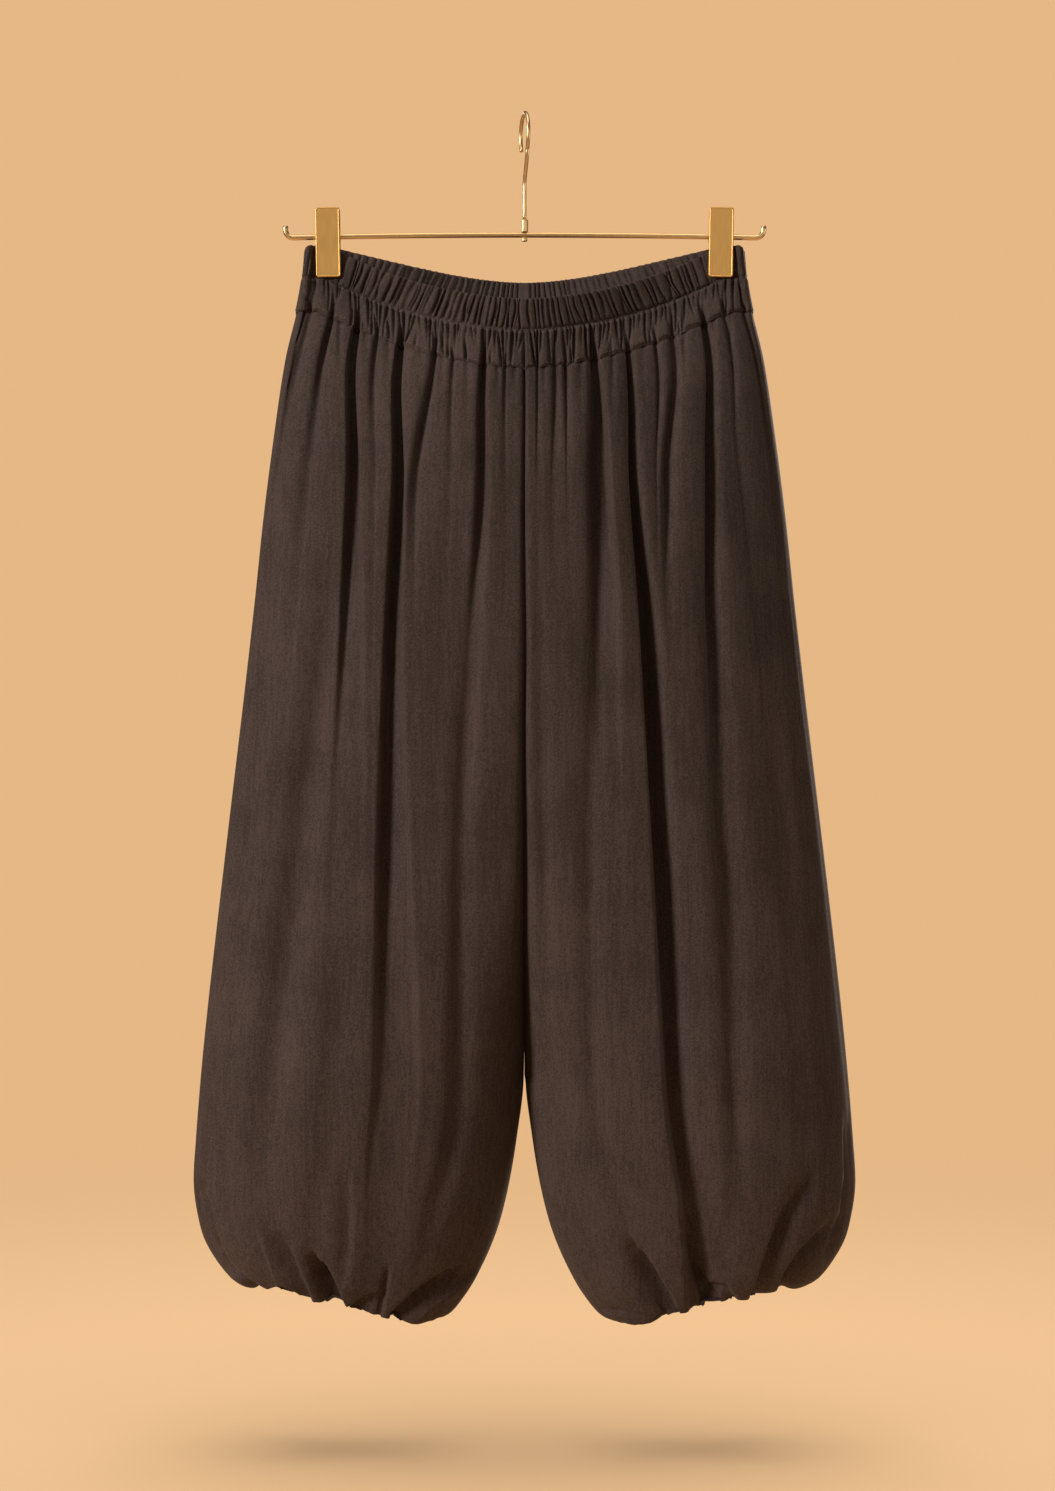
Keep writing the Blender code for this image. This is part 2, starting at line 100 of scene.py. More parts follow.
# Sewn edges: the gaps, the lap over the centre, the allowance turned in behind the panel above, the
# grooves along the seams, and the strip next to them that no gather crosses
SEAM_HALF_GAP = 0.001
ROW_HALF_GAP = 0.01
CENTRE_LAP = 0.12
ALLOWANCE_HEIGHT = 3
ALLOWANCE_DEPTH = 1.8
SEAM_DIP = 0.9
ROW_DIP = 0.9
SEAM_DIP_WIDTH = 1.6
SEAM_FLAT_WIDTH = 1.6

# The side seam's allowance, pressed flat, and the drops where its line comes and goes
PIPING_INSET = 3.4
PIPING_DEPTH = 0.9
PIPING_WIDTH = 1.1
PIPING_COMES = (150, 240)
PIPING_GOES = (750, 840)

# The form of a section: how round it is, where the clips press it, and how its top edge dips
SECTION_ROUNDNESS = 2.2
SECTION_FULLNESS = 0.55
SEAM_TAPER = 0.02
CROTCH_SPLIT = 0.9
WAIST_DIP_POWER = 1.7
WAIST_DIP_REACH = 0.9
WAIST_END_BULGE = 0.11
WAIST_END_POWER = 0.6
SAG_PLACE = 0.18
SAG_SPREAD = 0.2
CLIP_INNER_EDGE = 0.8
CLIP_OUTER_EDGE = 0.965

# The waistband's gathers, its rolled top edge, and its corners past the clips
BAND_GATHERS = 34
GATHER_UNEVENNESS = 0.17
GATHER_HEIGHT = 2.7
GATHER_CREST = 0.55
GATHER_LEAN = 9
GATHER_CENTRE_SHARE = 0.72
SECOND_GATHER_WIDTH = 0.11
INSIDE_GATHER_HEIGHT = 2.4
CLIP_HOLD_FADE = 6
SIDE_HOLD_FADE = 0.01
BAND_ROLL = 1.4
ROLL_ROWS = (0, 0.06, 0.25, 0.55)
CORNER_DROP = 4
CORNER_PUFF = 1.5

# The uneven line between waistband and yoke: the height, rate and phase of its waves
WOBBLE_HEIGHT = 0.32
WOBBLE_REACH = 3
WOBBLES = [(1, 1.13, 0), (0.8, 0.71, 1), (0.6, 1.9, 2)]

# The yoke's gathers, which hang from the waistband, and its risers, which stand on the legs' seam
YOKE_GATHERS = 44
YOKE_RISERS = 16
YOKE_GATHER_DEPTH = 4.6
YOKE_GATHER_CREST = 0.4
YOKE_SIDE_FADE = 0.05
GATHER_REACHES = [0.6, 0.8, 1.1, 1.6]
RISERS_BETWEEN = (6, 186)
RISER_WIDTH = 1.1
YOKE_PUCKER_SHARE = 0.3

# The legs' puffs between their folds: how high and how flat they are, and how that changes down the leg
CREST_SHARE = 0.45
CREST_FADE = 0.75
CREST_FADES = (40, 340)
EDGE_CREST = 0.25
FLAT_PUFF = 0.42
PUFF_NARROWS_BY = 450

# How the folds' sides soften and tilt down the leg, and how dense the columns are in the valleys
NEAR_WIDENING = 380
AWAY_WIDENING = 120
TILT_FULL = 250
VALLEY_CROWDING = 0.4

# The seam under the yoke, pulled into an arch over each puff
SEAM_PULL = 2.4
SEAM_PULL_REACH = 9

# The sewn centre line, sunk between the legs: how deep and how wide the hollow is at each drop
SINK_DROPS = (-33, 0, 110, 400, 620)
SINK_DEPTHS = (0, 2.5, 3.5, 6, 9)
SINK_WIDTHS = (1.5, 1.5, 2.2, 3.5, 6)
SINK_WALL = 4

# The slow waves in a leg: what they add to the leg's seed, how wide, how tall and how high they are
SLOW_WAVES = [(0, 62, 420, 0.6), (50, 30, 150, 0.1)]
SLOW_WAVE_COUNT = 7
SLOW_WAVES_FULL = 60

# The hem: its small gathers, the turn into the casing, and the casing itself
HEM_GATHER_HEIGHT = 0.22
HEM_GATHER_COUNTS = (13, 19, 27)
HEM_GATHER_REACH = 22
HEM_TURN = 18
CREASE_LEAD = 0.12
CUFF_SEAM_DEPTH = 1.5
CUFF_GAP = 0.3
CUFF_GATHER_HEIGHT = 0.5

# The clips' jaws. A jaw's section runs from the cloth outwards: how far in from its edge, and how far
# out from the cloth.
CLIP_X = 165
CLIP_WIDTH = 20.5
CLIP_TOP_Z = -78
CLIP_BOTTOM_Z = -136.8
CLIP_INSIDE_Y = 2.6
CLIP_TILT = radians(1)
CLIP_CORNER = 2.2
CLIP_LEAST_CORNER = 0.4
CLIP_PROFILE = [(0, 0), (0, 2.3), (0.12, 2.75), (0.4, 3.1), (0.8, 3.2), (1.15, 3.1), (1.35, 2.9)]
JAW_EDGE_ANGLE = radians(40)

# The hanger's wires
BAR_RADIUS = 2.25
BAR_REACH = 200.8
BAR_END_Z = -103.3
BAR_BOW = 2.5
BAR_CURL_RADIUS = 6.7
BAR_TIP_Z = -93
HOOK_WIRE_RADIUS = 1.65
HOOK_RADIUS = 17
HOOK_TURN = radians(10)
HOOK_TIP_ANGLE = radians(-38)
HOOK_NECK_ANGLE = radians(225)
STEM_TOP_Z = -60
STEM_LOW_Z = -87.7
WIRE_SIDES = 20
WIRE_EDGE_ANGLE = radians(50)
BLUNT_LENGTH = 0.3
BLUNT_RADIUS = 0.7

# The topstitching
STITCH_LENGTH = 3
STITCH_GAP = 0.9
STITCH_FROM_SIDE = 2
STITCH_RINGS = 5
STITCH_SIDES = 6
THREAD_RADIUS = 0.28
STITCH_RISE = 2.6
WAIST_STITCH_DROP = 2.2

# How finely the wires and the shells are divided
BAR_POINTS = 40
CURL_POINTS = 14
HOOK_POINTS = 64
NECK_POINTS = 20
STEM_POINTS = 12
LEG_COLUMN_STEP = 1.15
YOKE_COLUMN_STEP = 0.52
TOP_ROWS = 14
LEG_ROWS_FROM = 30
LEG_ROW_STEP = 7.5
HEM_ROW_STEP = 2.4
HEM_ROWS_FROM = 765
YOKE_ROW_STEP = 1.5
BAND_ROW_STEP = 1.6
GATHER_COLUMNS = 10
CUFF_COLUMNS = 96
CUFF_ROWS = 12

# Each level of the cloth, as the solids have it
Section = namedtuple("Section", "drop inner outer front_z back_z outer_z sag depth pinch split")
SECTIONS = [Section(*row) for row in (
    (-60, 0, 183.5, -160, -135, -110, 0, 44, 1, 0),
    (-33, 0, 187, -186, -161, -137, 0, 45, 1, 0),
    (0, 0, 192, -218, -193, -167, 0, 47, 0.62, 0),
    (45, 0, 201, -262, -240, -206, 0, 50, 0.32, 0),
    (115, 0, 211, -325, -308, -273, 0, 54, 0.12, 0),
    (185, 0, 219.5, -390, -375, -340, 0, 56, 0.04, 0),
    (250, 0, 226.5, -450, -440, -407, 0, 58, 0, 0.04),
    (330, 0, 236, -530, -522, -491, 0, 60, 0, 0.12),
    (415, 0, 246, -610, -604, -575, 0, 62, 0, 0.24),
    (500, 0, 256, -688, -684, -660, 0, 64, 0, 0.44),
    (580, 0, 265.5, -762, -760, -744, 0, 66, 0, 0.74),
    (640, 0.6, 271.5, -808, -808, -805, 0, 67, 0, 1),
    (700, 6.8, 276, -861, -861, -861, 0, 67, 0, 1),
    (735, 12.5, 278, -895, -895, -895, 0, 65, 0, 1),
    (775, 21, 272, -930, -930, -935, 0, 60, 0, 1),
    (812, 35, 258, -965, -965, -963, 0, 53, 0, 1),
    (845, 49, 243, -988, -988, -979, 4, 45, 0, 1),
    (872, 66, 227, -1004, -1004, -985, 8, 35, 0, 1),
    (892, 76, 218, -997, -997, -977, 5, 28, 0, 1),
    (914, 79, 215, -976, -976, -956, 2, 26, 0, 1),
)]
BAND_TOP, YOKE_TOP, LEG_TOP, CUFF_SEAM, CUFF_END = -60, -33, 0, 892, 914

# Each fold of a leg, from its side to its centre. At each of FOLD_DROPS it has the place of its edge
# nearer the centre line, how deep it is, and how wide, then how soft its near and its away edge are,
# and how much shallower it gets towards its near edge.
FOLD_DROPS = (0, 118, 250, 400, 680, 793)
FOLD_STATIONS = (YOKE_TOP, *FOLD_DROPS, CUFF_SEAM)
Fold = namedtuple("Fold", "edge deep width near away tilt")
RIGHT_FOLDS = [Fold(*row) for row in (
    ((178, 200, 212, 225, 258, 240), (5, 2.5, 1, 0.5, 0.3, 0.3), (3, 6, 10, 14, 16, 10), 0.8, 1, 0),
    ((160, 175, 187, 202, 238, 222), (6, 3, 1, 0.4, 0.3, 0.3), (3, 6, 9, 12, 16, 10), 0.8, 1, 0),
    ((138, 138, 135, 133, 140, 156), (9, 11, 9, 2, 0.4, 0.3), (5, 8, 17, 26, 30, 12), 1, 0.5, 0.3),
    ((122, 123, 125, 125, 122, 134), (4, 0.8, 0.4, 0.3, 0.3, 0.3), (2, 4, 8, 10, 10, 8), 0.8, 1.2, 0),
    ((101, 100, 102, 97, 90, 104), (9, 13, 15, 14, 4, 0.6), (5, 8, 12, 22, 36, 28), 0.8, 0.4, 0.6),
    ((73, 88, 90, 86, 80, 92), (6, 5, 0.5, 0.3, 0.3, 0.3), (3, 6, 8, 8, 8, 8), 0.8, 1.2, 0),
    ((58, 60, 64, 70, 72, 82), (3, 0.5, 0.2, 0.2, 0.2, 0.2), (2, 4, 6, 8, 8, 8), 0.8, 1.2, 0),
    ((32, 31, 36, 44, 52, 70), (8, 8, 3, 1.2, 0.5, 0.3), (4, 8, 11, 12, 14, 10), 1.6, 0.7, 0.3),
    ((15, 15, 14, 15, 20, 50), (3, 0.4, 0.1, 0.1, 0.1, 0.1), (2, 3, 5, 5, 6, 5), 0.8, 1.4, 0),
)]
LEFT_FOLDS = [Fold(*row) for row in (
    ((183, 200, 213, 226, 256, 238), (3, 2.5, 1.5, 0.8, 0.4, 0.3), (4, 7, 9, 12, 12, 8), 0.7, 1.6, 0),
    ((166, 176, 190, 204, 222, 212), (3, 1, 0.5, 0.3, 0.3, 0.3), (3, 4, 6, 8, 8, 8), 0.8, 1.2, 0),
    ((148, 150, 151, 155, 172, 178), (8, 10, 7, 2, 0.8, 0.6), (5, 8, 11, 16, 20, 14), 0.6, 1.8, 0),
    ((122, 116, 118, 128, 138, 144), (7, 8, 1, 0.4, 0.3, 0.3), (3, 7, 6, 6, 6, 6), 2.2, 2, 0),
    ((108, 109, 112, 121, 131, 139), (4, 1, 0.4, 0.3, 0.3, 0.3), (2, 3, 4, 5, 6, 5), 0.8, 1.2, 0),
    ((84, 87, 96, 104.5, 119, 133), (9, 14, 20, 20, 16, 10), (3, 6, 11, 14, 19, 24), 0.5, 1.6, 0),
    ((56, 56, 59, 62, 76, 104), (10, 13, 5, 1, 0.4, 0.3), (5, 14, 18, 18, 18, 14), 3, 0.5, 0),
    ((33, 35, 37, 42, 58, 88), (3, 0.4, 0.1, 0.1, 0.1, 0.1), (2, 3, 4, 5, 6, 5), 0.8, 1.4, 0),
    ((24, 22.5, 24, 27, 36, 68), (4, 1, 0.2, 0.1, 0.1, 0.1), (3, 5, 5, 5, 6, 5), 1.4, 1.6, 0),
    ((10, 10, 11, 13, 18, 50), (3, 0.4, 0.1, 0.1, 0.1, 0.1), (2, 3, 4, 4, 5, 4), 0.8, 1.2, 0),
)]

# The soft troughs that the folds run out into: their middle, depth and spread, at the same drops
Trough = namedtuple("Trough", "path deep spread")
RIGHT_TROUGHS = [Trough(*row) for row in (
    ((160, 160, 162, 181, 212, 208), (0, 0, 4, 8, 6, 2), 15),
    ((150, 150, 150, 152, 158, 172), (0, 0, 0, 0, 2, 2.5), 11),
    ((47, 47, 47, 51, 56, 84), (0, 0, 2, 4.5, 4, 1.5), 9),
    ((205, 205, 212, 224, 246, 232), (0, 0, 1.5, 1.8, 1.2, 0.5), 7),
    ((120, 120, 116, 112, 108, 118), (0, 0, 0, 1, 3, 2), 16),
)]
LEFT_TROUGHS = [Trough(*row) for row in (
    ((62, 62, 60, 54, 60, 92), (0, 0, 3, 4, 3, 1), 9),
    ((150, 150, 156, 166, 174, 168), (0, 0, 4, 6, 5, 3), 11),
    ((12, 12, 13, 16, 26, 56), (0, 0, 1.5, 2.5, 1.5, 0.5), 7),
    ((110, 110, 118, 130, 150, 152), (0, 0, 1, 2, 2.5, 2), 10),
    ((200, 200, 206, 214, 232, 222), (0, 0, 0.8, 1.2, 1, 0.5), 9),
)]

# Each crease by the hem: its path down the cloth from the centre line outwards, how deep it is,
# or how high where that is below nothing, and how far it spreads to either side.
Crease = namedtuple("Crease", "path deep away near")
RIGHT_CREASES = [Crease(*row) for row in (
    ([(264, -905), (258, -935), (247, -960)], 11, 12, 1.5),
    ([(247, -960), (234, -971), (217, -985)], 11, 5, 1.4),
    ([(221, -921), (214, -946), (205, -975)], -2.2, 2, 6),
    ([(197, -940), (190, -958), (178, -990)], 8, 9, 1.8),
    ([(214, -986), (203, -980), (193, -985), (184, -993)], 8, 10, 1.5),
    ([(167, -958), (164, -963), (159, -974), (150, -997)], 14, 11, 1.6),
    ([(146, -880), (144, -915), (146, -949), (150, -972)], 3.5, 10, 3),
    ([(147, -998), (137, -990), (125, -985)], 5, 10, 1.6),
    ([(112, -965), (115, -982), (119, -1002)], 4, 4, 1.6),
    ([(62, -966), (76, -974), (90, -984), (110, -1003)], 12, 2, 11),
    ([(44, -972), (60, -985), (82, -1000)], -2.2, 2, 5),
    ([(17, -840), (23, -880), (34, -925), (47, -957), (64, -984)], -1.4, 1.2, 5),
)]
LEFT_CREASES = [Crease(*row) for row in (
    ([(96, -948), (104, -961), (112, -975), (123, -992)], 14, 2, 12),
    ([(56, -958), (74, -975), (92, -983), (112, -997)], -2.4, 2, 6),
    ([(131, -934), (142, -976), (148, -994)], 9, 12, 1.5),
    ([(138, -962), (148, -974), (162, -992)], 5, 1.6, 6),
    ([(152, -985), (158, -979), (167, -979), (174, -989)], 5, 1.8, 8),
    ([(144, -905), (150, -930), (154, -955)], -2, 6, 2),
    ([(226, -893), (212, -915), (202, -945), (196, -966), (188, -988)], 9, 12, 1.7),
    ([(247, -930), (229, -949), (217, -968), (212, -984)], 8, 10, 1.6),
    ([(267, -850), (268, -890), (264, -920), (252, -950)], 7, 7, 1.5),
    ([(60, -1000), (80, -999), (97, -1004)], 3, 2, 3),
    ([(17, -840), (22, -880), (31, -920), (43, -955), (60, -984)], -1.2, 1.2, 5),
)]

# Where the cuff's elastic pulls the bottom edge up: how far from the centre line, and by how much
RIGHT_NOTCHES = [(211, 2), (185, 2), (158, 2.4), (111, 1.6), (73, 2)]
LEFT_NOTCHES = [(249, 2), (209, 2.5), (174, 3), (142, 2.5), (115, 3)]
NOTCH_WIDTH = 6.5
NOTCHES_COME = (835, 880)

# Little tucks just under the seam, by how far they lie from the centre line
RIGHT_TUCKS = [(154, 52), (132, 30), (113, 46), (85, 58), (68, 34), (47, 64), (22, 44), (8, 22)]
LEFT_TUCKS = [(172, 40), (158, 34), (133, 56), (98, 48), (72, 66), (46, 50), (34, 30), (16, 42)]
TUCK_DEPTH = 2
TUCK_WIDTH = 2.2

# All that sets one leg's look apart from the other's
LegLook = namedtuple("LegLook", "folds troughs creases notches tucks")
RIGHT_LOOK = LegLook(RIGHT_FOLDS, RIGHT_TROUGHS, RIGHT_CREASES, RIGHT_NOTCHES, RIGHT_TUCKS)
LEFT_LOOK = LegLook(LEFT_FOLDS, LEFT_TROUGHS, LEFT_CREASES, LEFT_NOTCHES, LEFT_TUCKS)
BACK_FOLD_SHIFT = 0.98


def curve_through(stations, values, at):
    """Reads a smooth curve through the values, which never swings past its neighbours."""
    stations = np.asarray(stations, float)
    values = np.asarray(values, float)
    steps = np.diff(stations)
    rates = np.diff(values) / steps
    slopes = np.concatenate([rates[:1], np.zeros(len(rates) - 1), rates[-1:]])
    for i in range(1, len(rates)):
        if rates[i - 1] * rates[i] > 0:
            slopes[i] = 2 * rates[i - 1] * rates[i] / (rates[i - 1] + rates[i])
    i = np.clip(np.searchsorted(stations, at, side="right") - 1, 0, len(steps) - 1)
    t = (at - stations[i]) / steps[i]
    rise = values[i + 1] - values[i]
    start = slopes[i] * steps[i]
    end = slopes[i + 1] * steps[i]
    return values[i] + t * start + t**2 * (3 * rise - 2 * start - end) + t**3 * (start + end - 2 * rise)


def level(column, drops):
    """One column of the section table, read at each drop."""
    values = [getattr(row, column) for row in SECTIONS]
    return curve_through([row.drop for row in SECTIONS], values, drops)


def hump(away, width):
    """One in the middle, fading to nothing past the width on either side."""
    return np.exp(-((away / width) ** 2))


def share(value):
    """The value, held between 0 and 1."""
    return np.clip(value, 0, 1)


def risen(value, start, end):
    """How far a value has come from start to end, from 0 to 1."""
    return share((value - start) / (end - start))


def unit(vectors):
    """The vectors at a length of one."""
    return vectors / np.maximum(np.linalg.norm(vectors, axis=-1, keepdims=True), 1e-9)


def run_of(line):
    """How far along a line of points each one lies, with the lines in the last axis but one."""
    steps = np.linalg.norm(np.diff(line, axis=-2), axis=-1)
    return np.concatenate([np.zeros(steps.shape[:-1] + (1,)), np.cumsum(steps, axis=-1)], axis=-1)


def pinched(across):
    """The depth of a section that the clips squeeze flat, from the centre to the side seam."""
    belly = 0.5 * (1 + np.cos(pi * share(across / CLIP_INNER_EDGE)))
    past_clip = risen(across, CLIP_OUTER_EDGE, 1) ** WAIST_END_POWER
    return belly + WAIST_END_BULGE * np.sqrt(4 * past_clip * (1 - past_clip))


def rounded(across):
    """The depth of a section, full at the centre and closed at the side seam."""
    return (1 - share(across) ** SECTION_ROUNDNESS) ** SECTION_FULLNESS


def cloth_points(across, drops, face):
    """Points of the cloth's outside for a half at +X, with the front or the back facing -Y."""
    inner, outer = level("inner", drops), level("outer", drops)
    split, pinch = level("split", drops), level("pinch", drops)
    hips = (1 - split) * rounded(across) + split * rounded(np.abs(2 * across - 1))
    depth = level("depth", drops) * (pinch * pinched(across) + (1 - pinch) * hips)
    closing = share((1 - across) / SEAM_TAPER) * share(1 - split + across / SEAM_TAPER)
    centre_z, side_z = level(face + "_z", drops), level("outer_z", drops)
    x = np.maximum(inner + (outer - inner) * across, SEAM_HALF_GAP)
    y = -SEAM_HALF_GAP - closing * (CLOTH_WALL + PINCH_ROOM) - depth
    z = centre_z + (side_z - centre_z) * share(across / WAIST_DIP_REACH) ** WAIST_DIP_POWER
    z = z - level("sag", drops) * hump(across - SAG_PLACE, SAG_SPREAD)
    return np.stack(np.broadcast_arrays(x, y, z), axis=-1), depth


def outward(points):
    """Unit normals of a grid that runs down in its rows and away from the centre in its columns."""
    normals = np.cross(np.gradient(points, axis=0), np.gradient(points, axis=1))
    normals[[0, -1], :, 2] = 0
    return unit(normals)


def path_down(places, drops):
    """How far across a half a path lies at each drop that has the given places at FOLD_DROPS."""
    inner, outer = level("inner", np.array(FOLD_DROPS)), level("outer", np.array(FOLD_DROPS))
    across = list((np.array(places) - inner) / (outer - inner))
    return curve_through(FOLD_STATIONS, across[:1] + across + across[-1:], drops)


def fold_lines(folds, drops):
    """Where each fold's near edge lies across the half, how deep it is and how wide, at each drop."""
    lines = []
    for fold in folds:
        deep = (fold.deep[0] * YOKE_PUCKER_SHARE, *fold.deep, CUFF_SEAM_DEPTH)
        width = (fold.width[0] / 2, *fold.width, fold.width[-1])
        sizes = [curve_through(FOLD_STATIONS, size, drops) for size in (deep, width)]
        lines.append((path_down(fold.edge, drops), *sizes, fold))
    return lines


def fold_columns(folds, drops, step):
    """The grid's columns, evenly dense between every two folds, and the folds' relief there."""
    nothing = np.zeros(drops.shape)
    lines = fold_lines(folds, drops)[::-1]
    edges = [(across, deep) for across, deep, _, _ in lines]
    edges = [(nothing, EDGE_CREST * edges[0][1]), *edges, (nothing + 1, EDGE_CREST * edges[-1][1])]
    whole = level("outer", drops) - level("inner", drops)
    power = FLAT_PUFF + share(drops / PUFF_NARROWS_BY)
    crest_share = CREST_SHARE * (1 - CREST_FADE * risen(drops, *CREST_FADES))
    columns, crests = [], []
    for (left, left_deep), (right, right_deep) in zip(edges, edges[1:]):
        parts = max(3, int(round(((right - left) * whole).mean() / step)))
        for even in np.arange(parts) / parts:
            t = even - VALLEY_CROWDING * sin(2 * pi * even) / (2 * pi)
            columns.append(left + (right - left) * t)
            crests.append(crest_share * np.sqrt(left_deep * right_deep) * sin(pi * t) ** power)
    columns.append(nothing + 1)
    crests.append(nothing)
    columns = np.concatenate(columns, axis=1)
    below = np.clip(drops, 0, None)
    dips = np.zeros(columns.shape)
    for across, deep, width, fold in lines:
        reach = (columns - across) * whole
        near = fold.near * (1 + below / NEAR_WIDENING)
        away = fold.away * (1 + below / AWAY_WIDENING)
        inside = 0.25 * (1 + np.tanh(reach / near)) * (1 + np.tanh((width - reach) / away))
        from_away = share(1 - reach / width)
        inside *= 1 - fold.tilt * share(below / TILT_FULL) * from_away
        dips += (deep * inside) ** 2
    return columns, np.concatenate(crests, axis=1) - np.sqrt(dips)


def trough_relief(columns, drops, troughs):
    """The broad soft hollows lower down a leg."""
    whole = level("outer", drops) - level("inner", drops)
    total = 0
    for path, deep, spread in troughs:
        away = (columns - path_down(path, drops)) * whole
        total = total - curve_through(FOLD_STATIONS, (0, *deep, 0), drops) * hump(away, spread)
    return total


def centre_sink(points, drops):
    """How far the sewn centre line lies sunk between the legs, straight back from the front."""
    deep, wide = (np.interp(drops, SINK_DROPS, sizes) for sizes in (SINK_DEPTHS, SINK_WIDTHS))
    return deep * hump(points[..., 0], wide)


def side_piping(points, drops):
    """The seam allowance, which shows as a faint line just inside the side seam."""
    fade = risen(drops, *PIPING_COMES) * (1 - risen(drops, *PIPING_GOES))
    inset = level("outer", drops) - points[..., 0] - PIPING_INSET
    return -PIPING_DEPTH * fade * hump(inset, PIPING_WIDTH)


def segment_distance(points, start, end):
    """Distance from points in the front's plane to a stretch, how far along it, and on which side."""
    run = end - start
    along = share(((points - start) @ run) / (run @ run))
    offset = points - start - along[..., None] * run
    side = run[0] * offset[..., 1] - run[1] * offset[..., 0]
    return np.linalg.norm(offset, axis=-1), along, side


def crease_relief(points, creases):
    """Soft troughs and ridges along given paths, fading in at their start."""
    flat = points[..., [0, 2]]
    total = np.zeros(flat.shape[:2])
    for crease in creases:
        path = np.array(crease.path, float)
        nearest = np.full(flat.shape[:2], np.inf)
        shape = np.zeros(flat.shape[:2])
        for i, (start, end) in enumerate(zip(path, path[1:])):
            distance, along, side = segment_distance(flat, start, end)
            spread = np.where(side > 0, crease.away, crease.near)
            progress = (i + along) / (len(path) - 1)
            fade = np.sin(pi * (CREASE_LEAD + (1 - 2 * CREASE_LEAD) * progress)) ** 0.6
            shape = np.where(distance < nearest, fade * hump(distance, spread), shape)
            nearest = np.minimum(distance, nearest)
        total -= crease.deep * shape
    return total


def tuck_relief(points, drops, tucks):
    """Short tucks that start at the yoke's seam and fade down the leg."""
    total = 0
    for place, length in tucks:
        total = total - share(1 - drops / length) * hump(points[..., 0] - place, TUCK_WIDTH)
    return TUCK_DEPTH * total


def slow_waves(points, seed, wide, tall, height):
    """Gentle uneven waves, longer down the cloth than across it."""
    random = np.random.default_rng(seed)
    total = 0
    for _ in range(SLOW_WAVE_COUNT):
        across = wide * random.uniform(0.7, 1.5)
        down = tall * random.uniform(0.7, 1.6)
        phase = random.uniform(0, 2 * pi)
        lean = random.uniform(-0.25, 0.25)
        turns = (points[..., 0] + lean * points[..., 2]) / across + points[..., 2] / down
        total = total + np.sin(2 * pi * turns + phase)
    return total * height / SLOW_WAVE_COUNT**0.5


def hem_gathers(across, drops, seed):
    """Small gathers that fan up from the cuff's seam and die out."""
    random = np.random.default_rng(seed)
    total = 0
    for count in HEM_GATHER_COUNTS:
        phase = random.uniform(0, 2 * pi)
        total = total + np.sin(2 * pi * count * across + phase + 1.5 * np.sin(5 * across + phase))
    return HEM_GATHER_HEIGHT * np.exp(-((CUFF_SEAM - drops) / HEM_GATHER_REACH)) * total


def seam_relief(points, relief):
    """Fades a panel's relief out into a little groove along its sewn side edges."""
    from_centre = run_of(points)
    edge = np.minimum(from_centre, from_centre[:, -1:] - from_centre)
    return (relief + SEAM_DIP) * (1 - hump(edge, SEAM_DIP_WIDTH))


def row_dips(drops, ends):
    """A little groove along a panel's sewn top or bottom edge."""
    return -ROW_DIP * sum(hump(drops - end, SEAM_DIP_WIDTH) for end in ends)


def held_flat(drops, ends):
    """A share that keeps gathers off the rows next to a sewn edge, so that its two panels meet."""
    return np.prod([1 - hump(drops - end, SEAM_FLAT_WIDTH) for end in ends], axis=0)


def wobble_band_seam(points, drops):
    """The uneven line where the gathered casing meets the yoke."""
    wave = sum(height * np.sin(points[..., 0] * rate + phase) for height, rate, phase in WOBBLES)
    points[..., 2] += WOBBLE_HEIGHT * hump(drops - YOKE_TOP, WOBBLE_REACH) * wave
    return points


def slits_of(folds):
    """Where the middle of each fold's slit meets the yoke's seam."""
    return [fold.edge[0] + fold.width[0] / 2 for fold in folds]


def pull_seam(points, drops, folds):
    """The seam under the yoke, arched over each puff and drawn down into each slit."""
    valleys = [0.0] + sorted(slits_of(folds)) + [level("outer", 0.0)]
    inwards = 1 - np.interp(points[..., 0], valleys, np.arange(len(valleys))) % 1
    arch = np.sin(pi * inwards) ** 0.6 * (1.15 - 0.6 * inwards)
    points[..., 2] += SEAM_PULL * hump(drops, SEAM_PULL_REACH) * (arch - 0.5)
    return points


def notch_hem(points, drops, notches):
    """The bottom edge, drawn up into a notch between every two lobes."""
    near_hem = risen(drops, *NOTCHES_COME)
    for place, height in notches:
        points[..., 2] += height * near_hem * np.exp(-np.abs(points[..., 0] - place) / NOTCH_WIDTH)
    return points


def wall_of(points, relief, depth, split):
    """The outer and inner skins: the points moved out by the relief, and those a wall inside them."""
    outer = points + outward(points) * (relief * risen(depth, FLAT_DEPTH, FULL_DEPTH))[..., None]
    normals = outward(outer)
    normals[:, -1, 1] = 0
    normals[split[:, 0] >= 1, 0, 1] = 0
    normals[split[:, 0] < CROTCH_SPLIT, 0, 0] = 0
    skins = np.stack([outer, outer - unit(normals) * CLOTH_WALL])
    skins[..., 0] = np.maximum(skins[..., 0], SEAM_HALF_GAP)
    skins[..., 1] = np.minimum(skins[..., 1], -SEAM_HALF_GAP)
    return skins


def lap_centre(skins, side, split):
    """Laps the left panel's sewn centre edge a hair over the right one's, so no light comes through."""
    if side == "left":
        skins[:, :, 0, 0] = np.where(split[:, 0] < 1, -CENTRE_LAP, skins[:, :, 0, 0])
    return skins


def with_allowance(skins):
    """Both skins with a seam allowance above their top edge, turned in behind the panel over it."""
    row = skins[:, :1] + (0, ALLOWANCE_DEPTH, ALLOWANCE_HEIGHT)
    row[..., 1] = np.minimum(row[..., 1], -SEAM_HALF_GAP)
    return np.concatenate([row, skins], axis=1)


